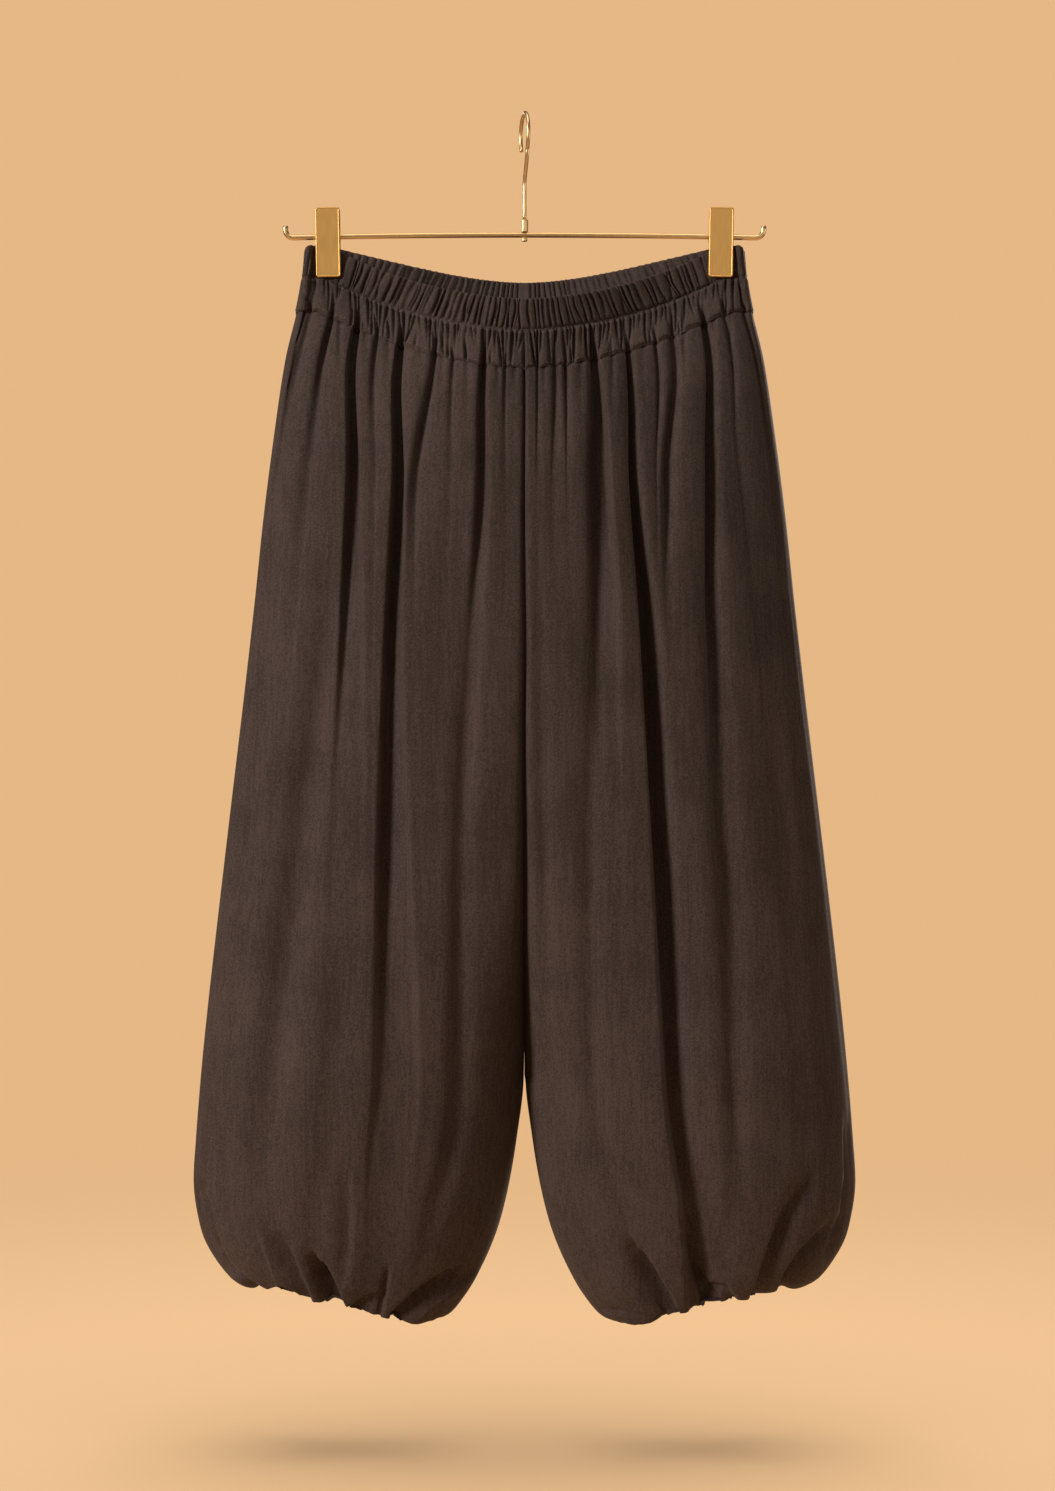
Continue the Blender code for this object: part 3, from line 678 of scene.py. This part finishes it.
def quads(line, beside):
    """Faces between two lines of points, or between each line of a grid and the one beside it."""
    corners = [line[..., :-1], line[..., 1:], beside[..., 1:], beside[..., :-1]]
    return np.stack(corners, axis=-1).reshape(-1, 4)


def wall_faces(rows, columns, around=False):
    """Faces of the closed wall between two grids, the outer one's points first."""
    grid = np.arange(rows * columns).reshape(rows, columns)
    if around:
        grid = np.concatenate([grid, grid[:, :1]], axis=1)
    under = grid + rows * columns
    pairs = [(grid.T[:-1], grid.T[1:]), (under.T[1:], under.T[:-1])]
    pairs += [(grid[0], under[0]), (under[-1], grid[-1])]
    if not around:
        pairs += [(under[:, 0], grid[:, 0]), (grid[:, -1], under[:, -1])]
    return np.concatenate([quads(*pair) for pair in pairs])


def tube_faces(rings, sides):
    """Faces between the rings of a closed tube, and its two flat ends."""
    grid = np.arange(rings * sides).reshape(rings, sides)
    closed = np.concatenate([grid, grid[:, :1]], axis=1)
    return [grid[0, ::-1].tolist(), *quads(closed[:-1], closed[1:]).tolist(), grid[-1].tolist()]


def tube_points(path, up, aside, thick, sides):
    """Rings of points around a path, as thick at each of its points as given."""
    angles = np.arange(sides) * 2 * pi / sides
    lines = [path + thick * (up * cos(angle) + aside * sin(angle)) for angle in angles]
    return np.stack(lines, axis=1).reshape(-1, 3)


def new_object(name, data):
    """An object with its mesh, light or camera, put into the scene."""
    obj = bpy.data.objects.new(name, data)
    bpy.context.collection.objects.link(obj)
    return obj


def add_piece(name, points, faces, finish, sharp_from):
    """A smooth mesh that rides on the part's one body, with an edge where it bends more than an angle."""
    mesh = bpy.data.meshes.new(name)
    mesh.from_pydata((points * MM).tolist(), [], faces)
    mesh.materials.append(finish)
    mesh.shade_smooth()
    mesh.set_sharp_from_angle(angle=sharp_from)
    obj = new_object(name, mesh)
    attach(obj, "root")
    return obj


def turn_of(side, face):
    """What turns a piece made for the left front to its own side of the garment."""
    return np.array([1 if side == "left" else -1, 1 if face == "front" else -1, 1])


def add_wall(name, skins, turn, finish, around=False):
    """Closes two skins into one wall, turned to its own side of the garment."""
    faces = wall_faces(*skins.shape[1:3], around)[:, :: turn[0] * turn[1]]
    return add_piece(name, skins.reshape(-1, 3) * turn, faces.tolist(), finish, CUT_EDGE_ANGLE)


def look_of(side, face):
    """A panel's own look, and the seed of its random waves.

    The back has the other leg's look, with its folds a little nearer the centre, so no two sides match.
    """
    seed = 10 + 2 * (side == "right") + (face == "back")
    look = RIGHT_LOOK if (side == "right") == (face == "front") else LEFT_LOOK
    if face == "back":
        edges = [tuple(BACK_FOLD_SHIFT * place for place in fold.edge) for fold in look.folds]
        look = look._replace(folds=[fold._replace(edge=edge) for fold, edge in zip(look.folds, edges)])
    return look, seed


def leg_panel(side, face, finish):
    """A balloon leg's front or back, from the centre or inside seam to the side seam."""
    drops = np.concatenate([
        np.linspace(LEG_TOP, LEG_ROWS_FROM, TOP_ROWS)[:-1],
        np.arange(LEG_ROWS_FROM, HEM_ROWS_FROM, LEG_ROW_STEP),
        np.arange(HEM_ROWS_FROM, CUFF_SEAM, HEM_ROW_STEP),
        [CUFF_SEAM],
    ])[:, None]
    look, seed = look_of(side, face)
    columns, relief = fold_columns(look.folds, drops, LEG_COLUMN_STEP)
    points, depth = cloth_points(columns, drops, face)
    points = notch_hem(pull_seam(points, drops, look.folds), drops, look.notches)
    relief += trough_relief(columns, drops, look.troughs) + side_piping(points, drops)
    above_turn = share((CUFF_SEAM - drops) / HEM_TURN)
    relief += above_turn * crease_relief(points, look.creases)
    relief += tuck_relief(points, drops, look.tucks) + hem_gathers(columns, drops, seed)
    for more, wide, tall, height in SLOW_WAVES:
        free = share(drops / SLOW_WAVES_FULL)
        relief += free * slow_waves(points, seed + more, wide, tall, height)
    relief = seam_relief(points, relief + row_dips(drops, [LEG_TOP]))
    split = level("split", drops)
    sink = np.minimum(centre_sink(points, drops), np.clip(depth - SINK_WALL, 0, None))
    points[..., 1] += sink * (split < 1)
    skins = lap_centre(wall_of(points, relief, depth, split), side, split)
    turn = turn_of(side, face)
    obj = add_wall(f"{side}_leg_{face}_cloth", with_allowance(skins), turn, finish)
    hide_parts(f"leg_{side}_{face}")
    return obj


def crowded(even):
    """Even places across a half, moved towards the centre as the gathers are."""
    return GATHER_CENTRE_SHARE * even + (1 - GATHER_CENTRE_SHARE) * even**2


def yoke_dips(x, down, valleys, random):
    """The yoke's gathers: those from the waistband lean towards the legs' valleys, the risers stand."""
    dips = np.zeros(x.shape)
    even = (np.arange(YOKE_GATHERS) + random.uniform(0.1, 0.9, YOKE_GATHERS)) / YOKE_GATHERS
    for place in crowded(even) * level("outer", YOKE_TOP):
        nearest = valleys[np.argmin(np.abs(valleys - place))]
        pull = random.uniform(0, 0.7)
        reach = random.choice(GATHER_REACHES)
        sway = random.uniform(-0.8, 0.8) * np.sin(pi * down)
        path = place + pull * (nearest - place) * down**1.3 + sway
        deep = YOKE_GATHER_DEPTH * random.uniform(0.4, 1.15) * share(1.2 * (reach - down))
        dips += (deep * hump(x - path, random.uniform(0.75, 1.2))) ** 2
    for place in np.concatenate([valleys, random.uniform(*RISERS_BETWEEN, YOKE_RISERS)]):
        path = place + random.uniform(-5, 5) * (1 - down) ** 1.2
        rise = random.uniform(0.45, 1.0)
        deep = YOKE_GATHER_DEPTH * random.uniform(0.4, 1.0) * share(1.6 * (rise - 1 + down))
        dips += (deep * hump(x - path, RISER_WIDTH)) ** 2
    return np.sqrt(dips)


def yoke_panel(side, face, finish):
    """The puckered strip under the waistband, whose gathers run together into the legs' folds.

    Returned with it are its outer skin, drops and turn, which its stitches follow.
    """
    rows = int(round((LEG_TOP - YOKE_TOP) / YOKE_ROW_STEP)) + 1
    drops = np.linspace(YOKE_TOP + ROW_HALF_GAP, LEG_TOP - ROW_HALF_GAP, rows)[:, None]
    look, seed = look_of(side, face)
    columns, relief = fold_columns(look.folds, drops, YOKE_COLUMN_STEP)
    points, _ = cloth_points(columns, drops, face)
    points = wobble_band_seam(pull_seam(points, drops, look.folds), drops)
    down = (drops - YOKE_TOP) / (LEG_TOP - YOKE_TOP)
    valleys = np.array(slits_of(look.folds))
    dips = yoke_dips(points[..., 0], down, valleys, np.random.default_rng(seed + 100))
    free = share((1 - columns) / YOKE_SIDE_FADE) * held_flat(drops, [YOKE_TOP, LEG_TOP])
    relief = relief * down**1.4 + free * (YOKE_GATHER_CREST * YOKE_GATHER_DEPTH - dips)
    relief = seam_relief(points, relief + row_dips(drops, [YOKE_TOP, LEG_TOP]))
    sewn = np.zeros((rows, 1))
    skins = lap_centre(wall_of(points, relief, FULL_DEPTH, sewn), side, sewn)
    turn = turn_of(side, face)
    obj = add_wall(f"{side}_yoke_{face}_cloth", with_allowance(skins), turn, finish)
    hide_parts(f"yoke_{side}_{face}")
    return obj, (skins[0], drops, turn)


def read_along(line, run, at):
    """Points of a line at given lengths along it."""
    return np.stack([np.interp(at, run, part) for part in line.T], axis=1)


def row_at(grid, drops, at):
    """A grid's points at one drop, between the rows on either side of it."""
    return np.concatenate([read_along(column, drops[:, 0], [at]) for column in grid.swapaxes(0, 1)])


def stitches_on(outer, drops, at):
    """The rings of short raised threads along a line that runs across a panel at one drop."""
    line, facing = row_at(outer, drops, at), row_at(outward(outer), drops, at)
    run = run_of(line)
    t = np.linspace(0, 1, STITCH_RINGS)
    swell = np.sin(pi * t)
    thick = THREAD_RADIUS * (0.35 + 0.65 * swell**0.5)[:, None]
    stitches = []
    last = run[-1] - STITCH_LENGTH - STITCH_FROM_SIDE / 2
    for start in np.arange(STITCH_FROM_SIDE, last, STITCH_LENGTH + STITCH_GAP):
        middle = read_along(line, run, start + t * STITCH_LENGTH)
        up = unit(read_along(facing, run, start + t * STITCH_LENGTH))
        aside = unit(np.cross(np.gradient(middle, axis=0), up))
        middle = middle + up * THREAD_RADIUS * (0.1 + 0.5 * swell)[:, None]
        stitches.append(tube_points(middle, up, aside, thick, STITCH_SIDES))
    return stitches


def topstitching(name, sewn, at, finish):
    """All the stitches of the seam that runs at one drop, as one piece."""
    thread = tube_faces(STITCH_RINGS, STITCH_SIDES)
    points, faces = [], []
    for outer, drops, turn in sewn:
        for stitch in stitches_on(outer, drops, at):
            first = len(points) * STITCH_RINGS * STITCH_SIDES
            faces += [[first + i for i in face[:: turn[0] * turn[1]]] for face in thread]
            points.append(stitch * turn)
    obj = add_piece(name, np.concatenate(points), faces, finish, CUT_EDGE_ANGLE)
    return obj


def band_places():
    """How far across the half each gather of the waistband lies, unevenly spaced."""
    random = np.random.default_rng(3)
    even = np.linspace(0, 1, BAND_GATHERS + 1)
    uneven = even + GATHER_UNEVENNESS * random.uniform(-1, 1, len(even)) / BAND_GATHERS
    uneven[0], uneven[-1] = 0, 1
    return crowded(uneven)


def band_gathers(fine, down, end, random):
    """A half band's relief outside, with its valleys, and inside, with the ridges that they leave."""
    relief, inside = 0, 0
    for i in range(1, end):
        sway = random.uniform(-0.25, 0.25) * np.sin(pi * down * random.uniform(0.6, 1.6))
        away = fine - i - sway
        narrow = random.uniform(0.15, 0.24)
        deep = GATHER_HEIGHT * random.uniform(0.75, 1.35)
        deep = deep * (1 - 0.35 * share(np.sin(pi * down * 1.5 + random.uniform(0, 6))))
        second = random.choice([-1, 1]) * random.uniform(0.25, 0.5)
        beside = random.uniform(0, 0.6) * hump(away - second, SECOND_GATHER_WIDTH)
        relief = relief - deep * (hump(away, narrow) + beside)
        inside = inside + INSIDE_GATHER_HEIGHT * hump(away - 0.5, narrow)
    return relief + GATHER_CREST * GATHER_HEIGHT, inside


def waistband(face, finish):
    """The gathered elastic casing of one face, with its top edge rolled over."""
    random = np.random.default_rng(5 if face == "front" else 6)
    rows = int(round((YOKE_TOP - BAND_TOP) / BAND_ROW_STEP)) + 1
    drops = np.concatenate([
        BAND_TOP + BAND_ROLL * np.array(ROLL_ROWS),
        np.linspace(BAND_TOP + BAND_ROLL, YOKE_TOP - ROW_HALF_GAP, rows),
    ])[:, None]
    fine = np.arange(GATHER_COLUMNS * BAND_GATHERS + 1) / GATHER_COLUMNS
    across = np.interp(fine, np.arange(BAND_GATHERS + 1), band_places())
    down = (drops - BAND_TOP) / (YOKE_TOP - BAND_TOP)
    width = level("outer", BAND_TOP)
    columns = across + GATHER_LEAN / width * np.sin(pi * across) * (down - 0.5)
    beside_clip = np.abs(across * width - CLIP_X) - CLIP_WIDTH / 2
    hold = share(beside_clip / CLIP_HOLD_FADE) * share((1 - across) / SIDE_HOLD_FADE)
    points, _ = cloth_points(columns, drops, face)
    corner = risen(columns, CLIP_OUTER_EDGE, 1)
    points[..., 2] -= CORNER_DROP * corner**3 * (1 - down)
    points[..., 0] += CORNER_PUFF * corner**2 * (1 - down)
    points = wobble_band_seam(points, drops)
    from_top = share((drops - BAND_TOP) / BAND_ROLL)[..., None]
    squeeze = 0.5 * (1 - np.sqrt(1 - (1 - from_top) ** 2))
    halves = []
    for end in (BAND_GATHERS, BAND_GATHERS + 1):
        relief, inside = band_gathers(fine, down, end, random)
        relief = relief * hold * held_flat(drops, [YOKE_TOP]) + row_dips(drops, [YOKE_TOP])
        outer = wall_of(points, relief, FULL_DEPTH, np.zeros((len(drops), 1)))[0]
        inside = np.minimum(inside * hold - BAND_WALL, relief - BAND_LEAST_WALL)
        inner = points + outward(points) * inside[..., None]
        inner[..., 1] = np.minimum(inner[..., 1], -SEAM_HALF_GAP)
        outer[:, 0, 0] = inner[:, 0, 0] = 0
        halves.append(np.stack([outer + (inner - outer) * squeeze, inner + (outer - inner) * squeeze]))
    skins = np.concatenate([halves[0][:, :, :0:-1] * (-1, 1, 1), halves[1]], axis=2)
    obj = add_wall(f"waistband_{face}_casing", skins, turn_of("left", face), finish)
    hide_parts(f"waistband_{face}")
    return obj


def cuff(side, finish):
    """The narrow elastic casing inside a leg's end."""
    drops = np.linspace(CUFF_SEAM + CUFF_GAP, CUFF_END, CUFF_ROWS)[:, None]
    centre = 0.5 * (level("inner", CUFF_SEAM) + level("outer", CUFF_SEAM))
    angles = np.linspace(0, pi, CUFF_COLUMNS // 2 + 1)[:-1]
    wave = CUFF_GATHER_HEIGHT * (1 + np.sin(np.arange(len(angles)) * pi / 3))[:, None]
    halves = []
    for face, turn in (("front", 1), ("back", -1)):
        across = np.broadcast_to(0.5 - 0.5 * turn * np.cos(angles), (len(drops), len(angles)))
        points, _ = cloth_points(across, drops, face)
        points[..., 1] = np.minimum(points[..., 1] + SEAM_HALF_GAP, 0) * turn
        away = unit((points - (centre, 0, 0)) * (1, 1, 0))
        halves.append(np.stack([points + away * wave, points + away * (wave - CLOTH_WALL)]))
    skins = np.concatenate(halves, axis=2)[:, ::-1]
    obj = add_wall(f"{side}_cuff_casing", skins, turn_of(side, "front"), finish, around=True)
    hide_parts(f"cuff_{side}")
    return obj


def rounded_plate(width, height, corner):
    """The outline of a plate with rounded corners, counter-clockwise in x and z."""
    points = []
    for quarter, (side, end) in enumerate(((1, 1), (-1, 1), (-1, -1), (1, -1))):
        centre = (side * (width / 2 - corner), end * (height / 2 - corner))
        for angle in np.linspace(0, pi / 2, 6) + quarter * pi / 2:
            points.append((centre[0] + corner * cos(angle), centre[1] + corner * sin(angle)))
    return np.array(points)


def clip_jaw(side, face, finish):
    """A jaw of stamped sheet with rounded corners, a rolled rim and a face set just inside it."""
    height = CLIP_TOP_Z - CLIP_BOTTOM_Z
    rings = []
    for inset, depth in CLIP_PROFILE:
        corner = max(CLIP_CORNER - inset, CLIP_LEAST_CORNER)
        outline = rounded_plate(CLIP_WIDTH - 2 * inset, height - 2 * inset, corner)
        rings.append(np.insert(outline, 1, -depth - CLIP_INSIDE_Y, axis=1))
    hand, towards, _ = turn_of(side, face)
    tilt = hand * CLIP_TILT
    x, y, z = np.concatenate(rings).T
    points = np.stack([
        x * cos(tilt) + z * sin(tilt) + hand * CLIP_X,
        y * towards,
        z * cos(tilt) - x * sin(tilt) + 0.5 * (CLIP_TOP_Z + CLIP_BOTTOM_Z),
    ], axis=1)
    faces = [loop[::towards] for loop in tube_faces(len(rings), len(rings[0]))]
    obj = add_piece(f"{side}_clip_{face}_jaw", points, faces, finish, JAW_EDGE_ANGLE)
    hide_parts(f"clip_{side}_{face}")
    return obj


def add_wire(name, node, path, aside, radius, finish):
    """A smooth round wire with blunt ends along a path in one plane, whose normal is aside."""
    path = np.array(path, float)
    along = unit(np.gradient(path, axis=0))
    up = np.cross(along, aside)
    blunt = BLUNT_LENGTH * radius
    first, last = path[:1], path[-1:]
    path = np.concatenate([first, first + blunt * along[:1], path[1:-1], last - blunt * along[-1:], last])
    up = np.concatenate([up[:1], up, up[-1:]])
    thick = np.full((len(path), 1), radius)
    thick[[0, -1]] = BLUNT_RADIUS * radius
    points = tube_points(path, np.array(aside), up, thick, WIRE_SIDES)
    obj = add_piece(name, points, tube_faces(len(path), WIRE_SIDES), finish, WIRE_EDGE_ANGLE)
    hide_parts(node)
    return obj


def bar_height(x):
    """The height of the bar's bow at a place along it."""
    return BAR_END_Z + BAR_BOW * (1 - (x / BAR_REACH) ** 2)


def hanger_wires(finish):
    """The bowed bar with its curled ends, and the hook that stands across it, turned a little."""
    straight = BAR_REACH - BAR_CURL_RADIUS
    curl_z = bar_height(straight) + BAR_CURL_RADIUS
    half = [(x, bar_height(x)) for x in np.linspace(0, straight, BAR_POINTS)]
    for angle in np.linspace(0, pi / 2, CURL_POINTS)[1:]:
        half.append((straight + BAR_CURL_RADIUS * sin(angle), curl_z - BAR_CURL_RADIUS * cos(angle)))
    half.append((BAR_REACH, BAR_TIP_Z))
    bar = [(-x, 0, z) for x, z in half[:0:-1]] + [(x, 0, z) for x, z in half]
    radius = HOOK_RADIUS + HOOK_WIRE_RADIUS
    angles = np.linspace(HOOK_TIP_ANGLE, HOOK_NECK_ANGLE, HOOK_POINTS)
    hook = [(radius * cos(angle), radius * sin(angle) - HOOK_RADIUS) for angle in angles]
    neck_y, neck_z = hook[-1]
    for t in np.linspace(0, 1, NECK_POINTS)[1:]:
        hook.append((neck_y * (1 - t * t * (3 - 2 * t)), neck_z + (STEM_TOP_Z - neck_z) * t))
    hook += [(0, z) for z in np.linspace(STEM_TOP_Z, STEM_LOW_Z, STEM_POINTS)[1:]]
    hook = [(-y * sin(HOOK_TURN), y * cos(HOOK_TURN), z) for y, z in hook]
    aside = (cos(HOOK_TURN), sin(HOOK_TURN), 0)
    return [
        add_wire("hanger_bar_wire", "hanger_bar", bar, (0, 1, 0), BAR_RADIUS, finish),
        add_wire("hanger_hook_wire", "hanger_hook", hook, aside, HOOK_WIRE_RADIUS, finish),
    ]


def set_inputs(tree, node, inputs):
    """Gives each input its value, or links it where it gets the output of another node."""
    for name, value in inputs.items():
        if isinstance(value, bpy.types.NodeSocket):
            tree.links.new(value, node.inputs[name])
        else:
            node.inputs[name].default_value = value


def add_node(tree, kind, inputs, output=0, **settings):
    """Adds a node and returns one of its outputs."""
    node = tree.nodes.new("ShaderNode" + kind)
    for name, value in settings.items():
        setattr(node, name, value)
    set_inputs(tree, node, inputs)
    return node.outputs[output]


def add_noise(tree, place, scale, detail):
    """A cloudy pattern, finer where its scale is larger."""
    return add_node(tree, "TexNoise", {"Vector": place, "Scale": scale, "Detail": detail})


def colour_ramp(tree, factor, dark, light, low, high):
    """A colour that runs from dark to light while the factor runs from low to high."""
    node = tree.nodes.new("ShaderNodeValToRGB")
    for element, place, colour in zip(node.color_ramp.elements, (low, high), (dark, light)):
        element.position = place
        element.color = (*colour, 1)
    tree.links.new(factor, node.inputs["Fac"])
    return node.outputs["Color"]


def new_material(name):
    """A material, its tree of nodes, and the object's own coordinates, which its patterns follow."""
    made = bpy.data.materials.new(name)
    made.use_nodes = True
    return made, made.node_tree, add_node(made.node_tree, "TexCoord", {}, "Object")


def set_shader(tree, inputs):
    """Sets the inputs of the surface's own shader."""
    set_inputs(tree, tree.nodes["Principled BSDF"], inputs)


def cloth_material(name, dark, light):
    """A matt brown crepe: a fine pebbled grain, faint slubs down the cloth and soft uneven dye."""
    made, tree, place = new_material(name)
    down_cloth = add_node(tree, "Mapping", {"Vector": place, "Scale": (420, 420, 26)})
    grain = add_noise(tree, place, 700, 3)
    slub = add_noise(tree, down_cloth, 1, 2)
    dye = add_noise(tree, place, 16, 2)
    weave = add_noise(tree, place, 1700, 2)
    tone = 0.0
    for layer, part in ((dye, 0.2), (slub, 0.25), (grain, 0.55)):
        tone = add_node(tree, "Math", {0: layer, 1: part, 2: tone}, operation="MULTIPLY_ADD")
    pebbles = add_node(tree, "Math", {0: weave, 1: grain}, operation="ADD")
    set_shader(tree, {
        "Base Color": colour_ramp(tree, tone, dark, light, 0.41, 0.59),
        "Normal": add_node(tree, "Bump", {"Height": pebbles, "Strength": 0.35, "Distance": 0.0004}),
        "Roughness": 0.82,
        "Specular IOR Level": 0.15,
        "Sheen Weight": 0.06,
        "Sheen Roughness": 0.45,
        "Sheen Tint": (0.9, 0.72, 0.6, 1),
    })
    return made


def thread_material():
    """A slightly shiny brown thread, twisted along its length."""
    made, tree, place = new_material("brown thread")
    wave = {"Vector": place, "Scale": 900}
    twist = add_node(tree, "TexWave", wave, "Fac", bands_direction="DIAGONAL")
    set_shader(tree, {"Base Color": colour_ramp(tree, twist, *THREAD, 0, 1), "Roughness": 0.6})
    return made


def brass_material(name, dark, light, roughness, brushing):
    """Warm brass, with fine brushed lines along each piece."""
    made, tree, place = new_material(name)
    along_piece = add_node(tree, "Mapping", {"Vector": place, "Scale": (1800, 1800, 60)})
    lines = add_noise(tree, along_piece, 1, 3)
    rough = {"Value": lines, "To Min": roughness, "To Max": roughness + brushing}
    set_shader(tree, {
        "Base Color": colour_ramp(tree, lines, dark, light, 0.3, 0.7),
        "Roughness": add_node(tree, "MapRange", rough),
        "Normal": add_node(tree, "Bump", {"Height": lines, "Strength": brushing, "Distance": 0.0001}),
        "Metallic": 1.0,
    })
    return made


def add_camera():
    """The photo's camera, level and far enough away for its frame."""
    data = bpy.data.cameras.new("camera")
    data.sensor_width = SENSOR
    data.lens = SENSOR * CAMERA_DISTANCE / (PHOTO_HEIGHT * MM_PER_PIXEL)
    data.clip_end = 50
    camera = new_object("camera", data)
    camera.location = (CAMERA_X * MM, -CAMERA_DISTANCE * MM, CAMERA_Z * MM)
    camera.rotation_euler = (pi / 2, 0, 0)
    bpy.context.scene.camera = camera


def add_world():
    """The camera sees a plain peach backdrop, and the object gets a weaker glow of it."""
    world = bpy.data.worlds.new("studio")
    world.use_nodes = True
    tree = world.node_tree
    backdrop = tree.nodes["Background"]
    backdrop.inputs["Color"].default_value = BACKDROP
    glow = add_node(tree, "Background", {"Color": GLOW_COLOUR, "Strength": GLOW})
    seen = add_node(tree, "LightPath", {}, "Is Camera Ray")
    mix = add_node(tree, "MixShader", {0: seen, 1: glow, 2: backdrop.outputs[0]})
    tree.links.new(mix, tree.nodes["World Output"].inputs["Surface"])
    bpy.context.scene.world = world
    bpy.context.scene.view_settings.view_transform = "Standard"


def add_floor():
    """A plain pale floor that fades into the backdrop's colour."""
    angles = np.arange(FLOOR_CORNERS) * 2 * pi / FLOOR_CORNERS
    ring = [(FLOOR_REACH * MM * cos(angle), FLOOR_REACH * MM * sin(angle), 0) for angle in angles]
    mesh = bpy.data.meshes.new("floor")
    mesh.from_pydata(ring, [], [list(range(FLOOR_CORNERS))])
    floor = new_object("floor", mesh)
    floor.location = (0, 0, FLOOR_Z * MM)
    made, tree, place = new_material("pale floor")
    away = add_node(tree, "VectorMath", {0: place}, "Value", operation="LENGTH")
    span = {"Value": away, "From Min": FLOOR_FADE[0], "From Max": FLOOR_FADE[1], "To Min": 1.0, "To Max": 0.0}
    fade = add_node(tree, "MapRange", span, interpolation_type="SMOOTHSTEP")
    set_shader(tree, {"Base Color": FLOOR_COLOUR, "Roughness": 0.9, "Specular IOR Level": 0.1, "Alpha": fade})
    mesh.materials.append(made)
    return floor


def link_light(light, objects, state):
    """Lets a light fall on these objects alone, with "INCLUDE", or on all others, with "EXCLUDE"."""
    linked = bpy.data.collections.new("linked to " + light.name)
    for obj in objects:
        linked.objects.link(obj)
    light.light_linking.receiver_collection = linked
    for member in linked.collection_objects:
        member.light_linking.link_state = state


def add_lamp(lamp, groups):
    """A round soft light, aimed and linked as its row of the table says."""
    data = bpy.data.lights.new(lamp.name, "AREA")
    data.shape = "DISK"
    data.size = lamp.size
    data.energy = lamp.power
    data.color = lamp.colour
    light = new_object(lamp.name, data)
    light.location = lamp.place
    direction = Vector(lamp.aim) - Vector(lamp.place)
    light.rotation_euler = direction.to_track_quat("-Z", "Y").to_euler()
    link_light(light, [obj for group in lamp.groups for obj in groups[group]], lamp.link)


def wash_floor(floor):
    """An even light for the floor alone, which keeps the garment's one soft shadow pale."""
    data = bpy.data.lights.new("wash", "SUN")
    data.energy = FLOOR_WASH
    data.use_shadow = False
    link_light(new_object("wash", data), floor, "INCLUDE")


def build_cloth():
    """Makes every sewn piece, and returns those of the back whose inside shows."""
    cloth = cloth_material("brown crepe", *CREPE)
    elastic = cloth_material("gathered crepe", *GATHERED_CREPE)
    thread = thread_material()
    sewn, backs = [], []
    for face in ("front", "back"):
        band = waistband(face, elastic)
        if face == "back":
            backs.append(band)
        for side in ("left", "right"):
            yoke, stitch_line = yoke_panel(side, face, cloth)
            sewn.append(stitch_line)
            if face == "back":
                backs.append(yoke)
            leg = leg_panel(side, face, cloth)
    for side in ("left", "right"):
        casing = cuff(side, elastic)
    topstitching("waist_topstitching", sewn, YOKE_TOP + WAIST_STITCH_DROP, thread)
    topstitching("yoke_topstitching", sewn, LEG_TOP - STITCH_RISE, thread)
    return backs


def finish_hanger():
    """Gives the hanger its brass, its wires and its jaws, and returns its pieces."""
    brass = brass_material("brushed brass", *BRUSHED_BRASS)
    wire_brass = brass_material("drawn brass", *DRAWN_BRASS)
    pieces = hanger_wires(wire_brass)
    for side in ("left", "right"):
        for face in ("front", "back"):
            pieces.append(clip_jaw(side, face, brass))
    for name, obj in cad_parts.items():
        if name in ("hanger_collar", "hanger_rivet") or name.endswith("_pin"):
            pieces.append(obj)
            for slot in obj.material_slots:
                slot.material = wire_brass
    return pieces


add_camera()
add_world()
groups = {"floor": [add_floor()], "backs": build_cloth(), "hanger": finish_hanger()}
for lamp in LAMPS:
    add_lamp(lamp, groups)
wash_floor(groups["floor"])
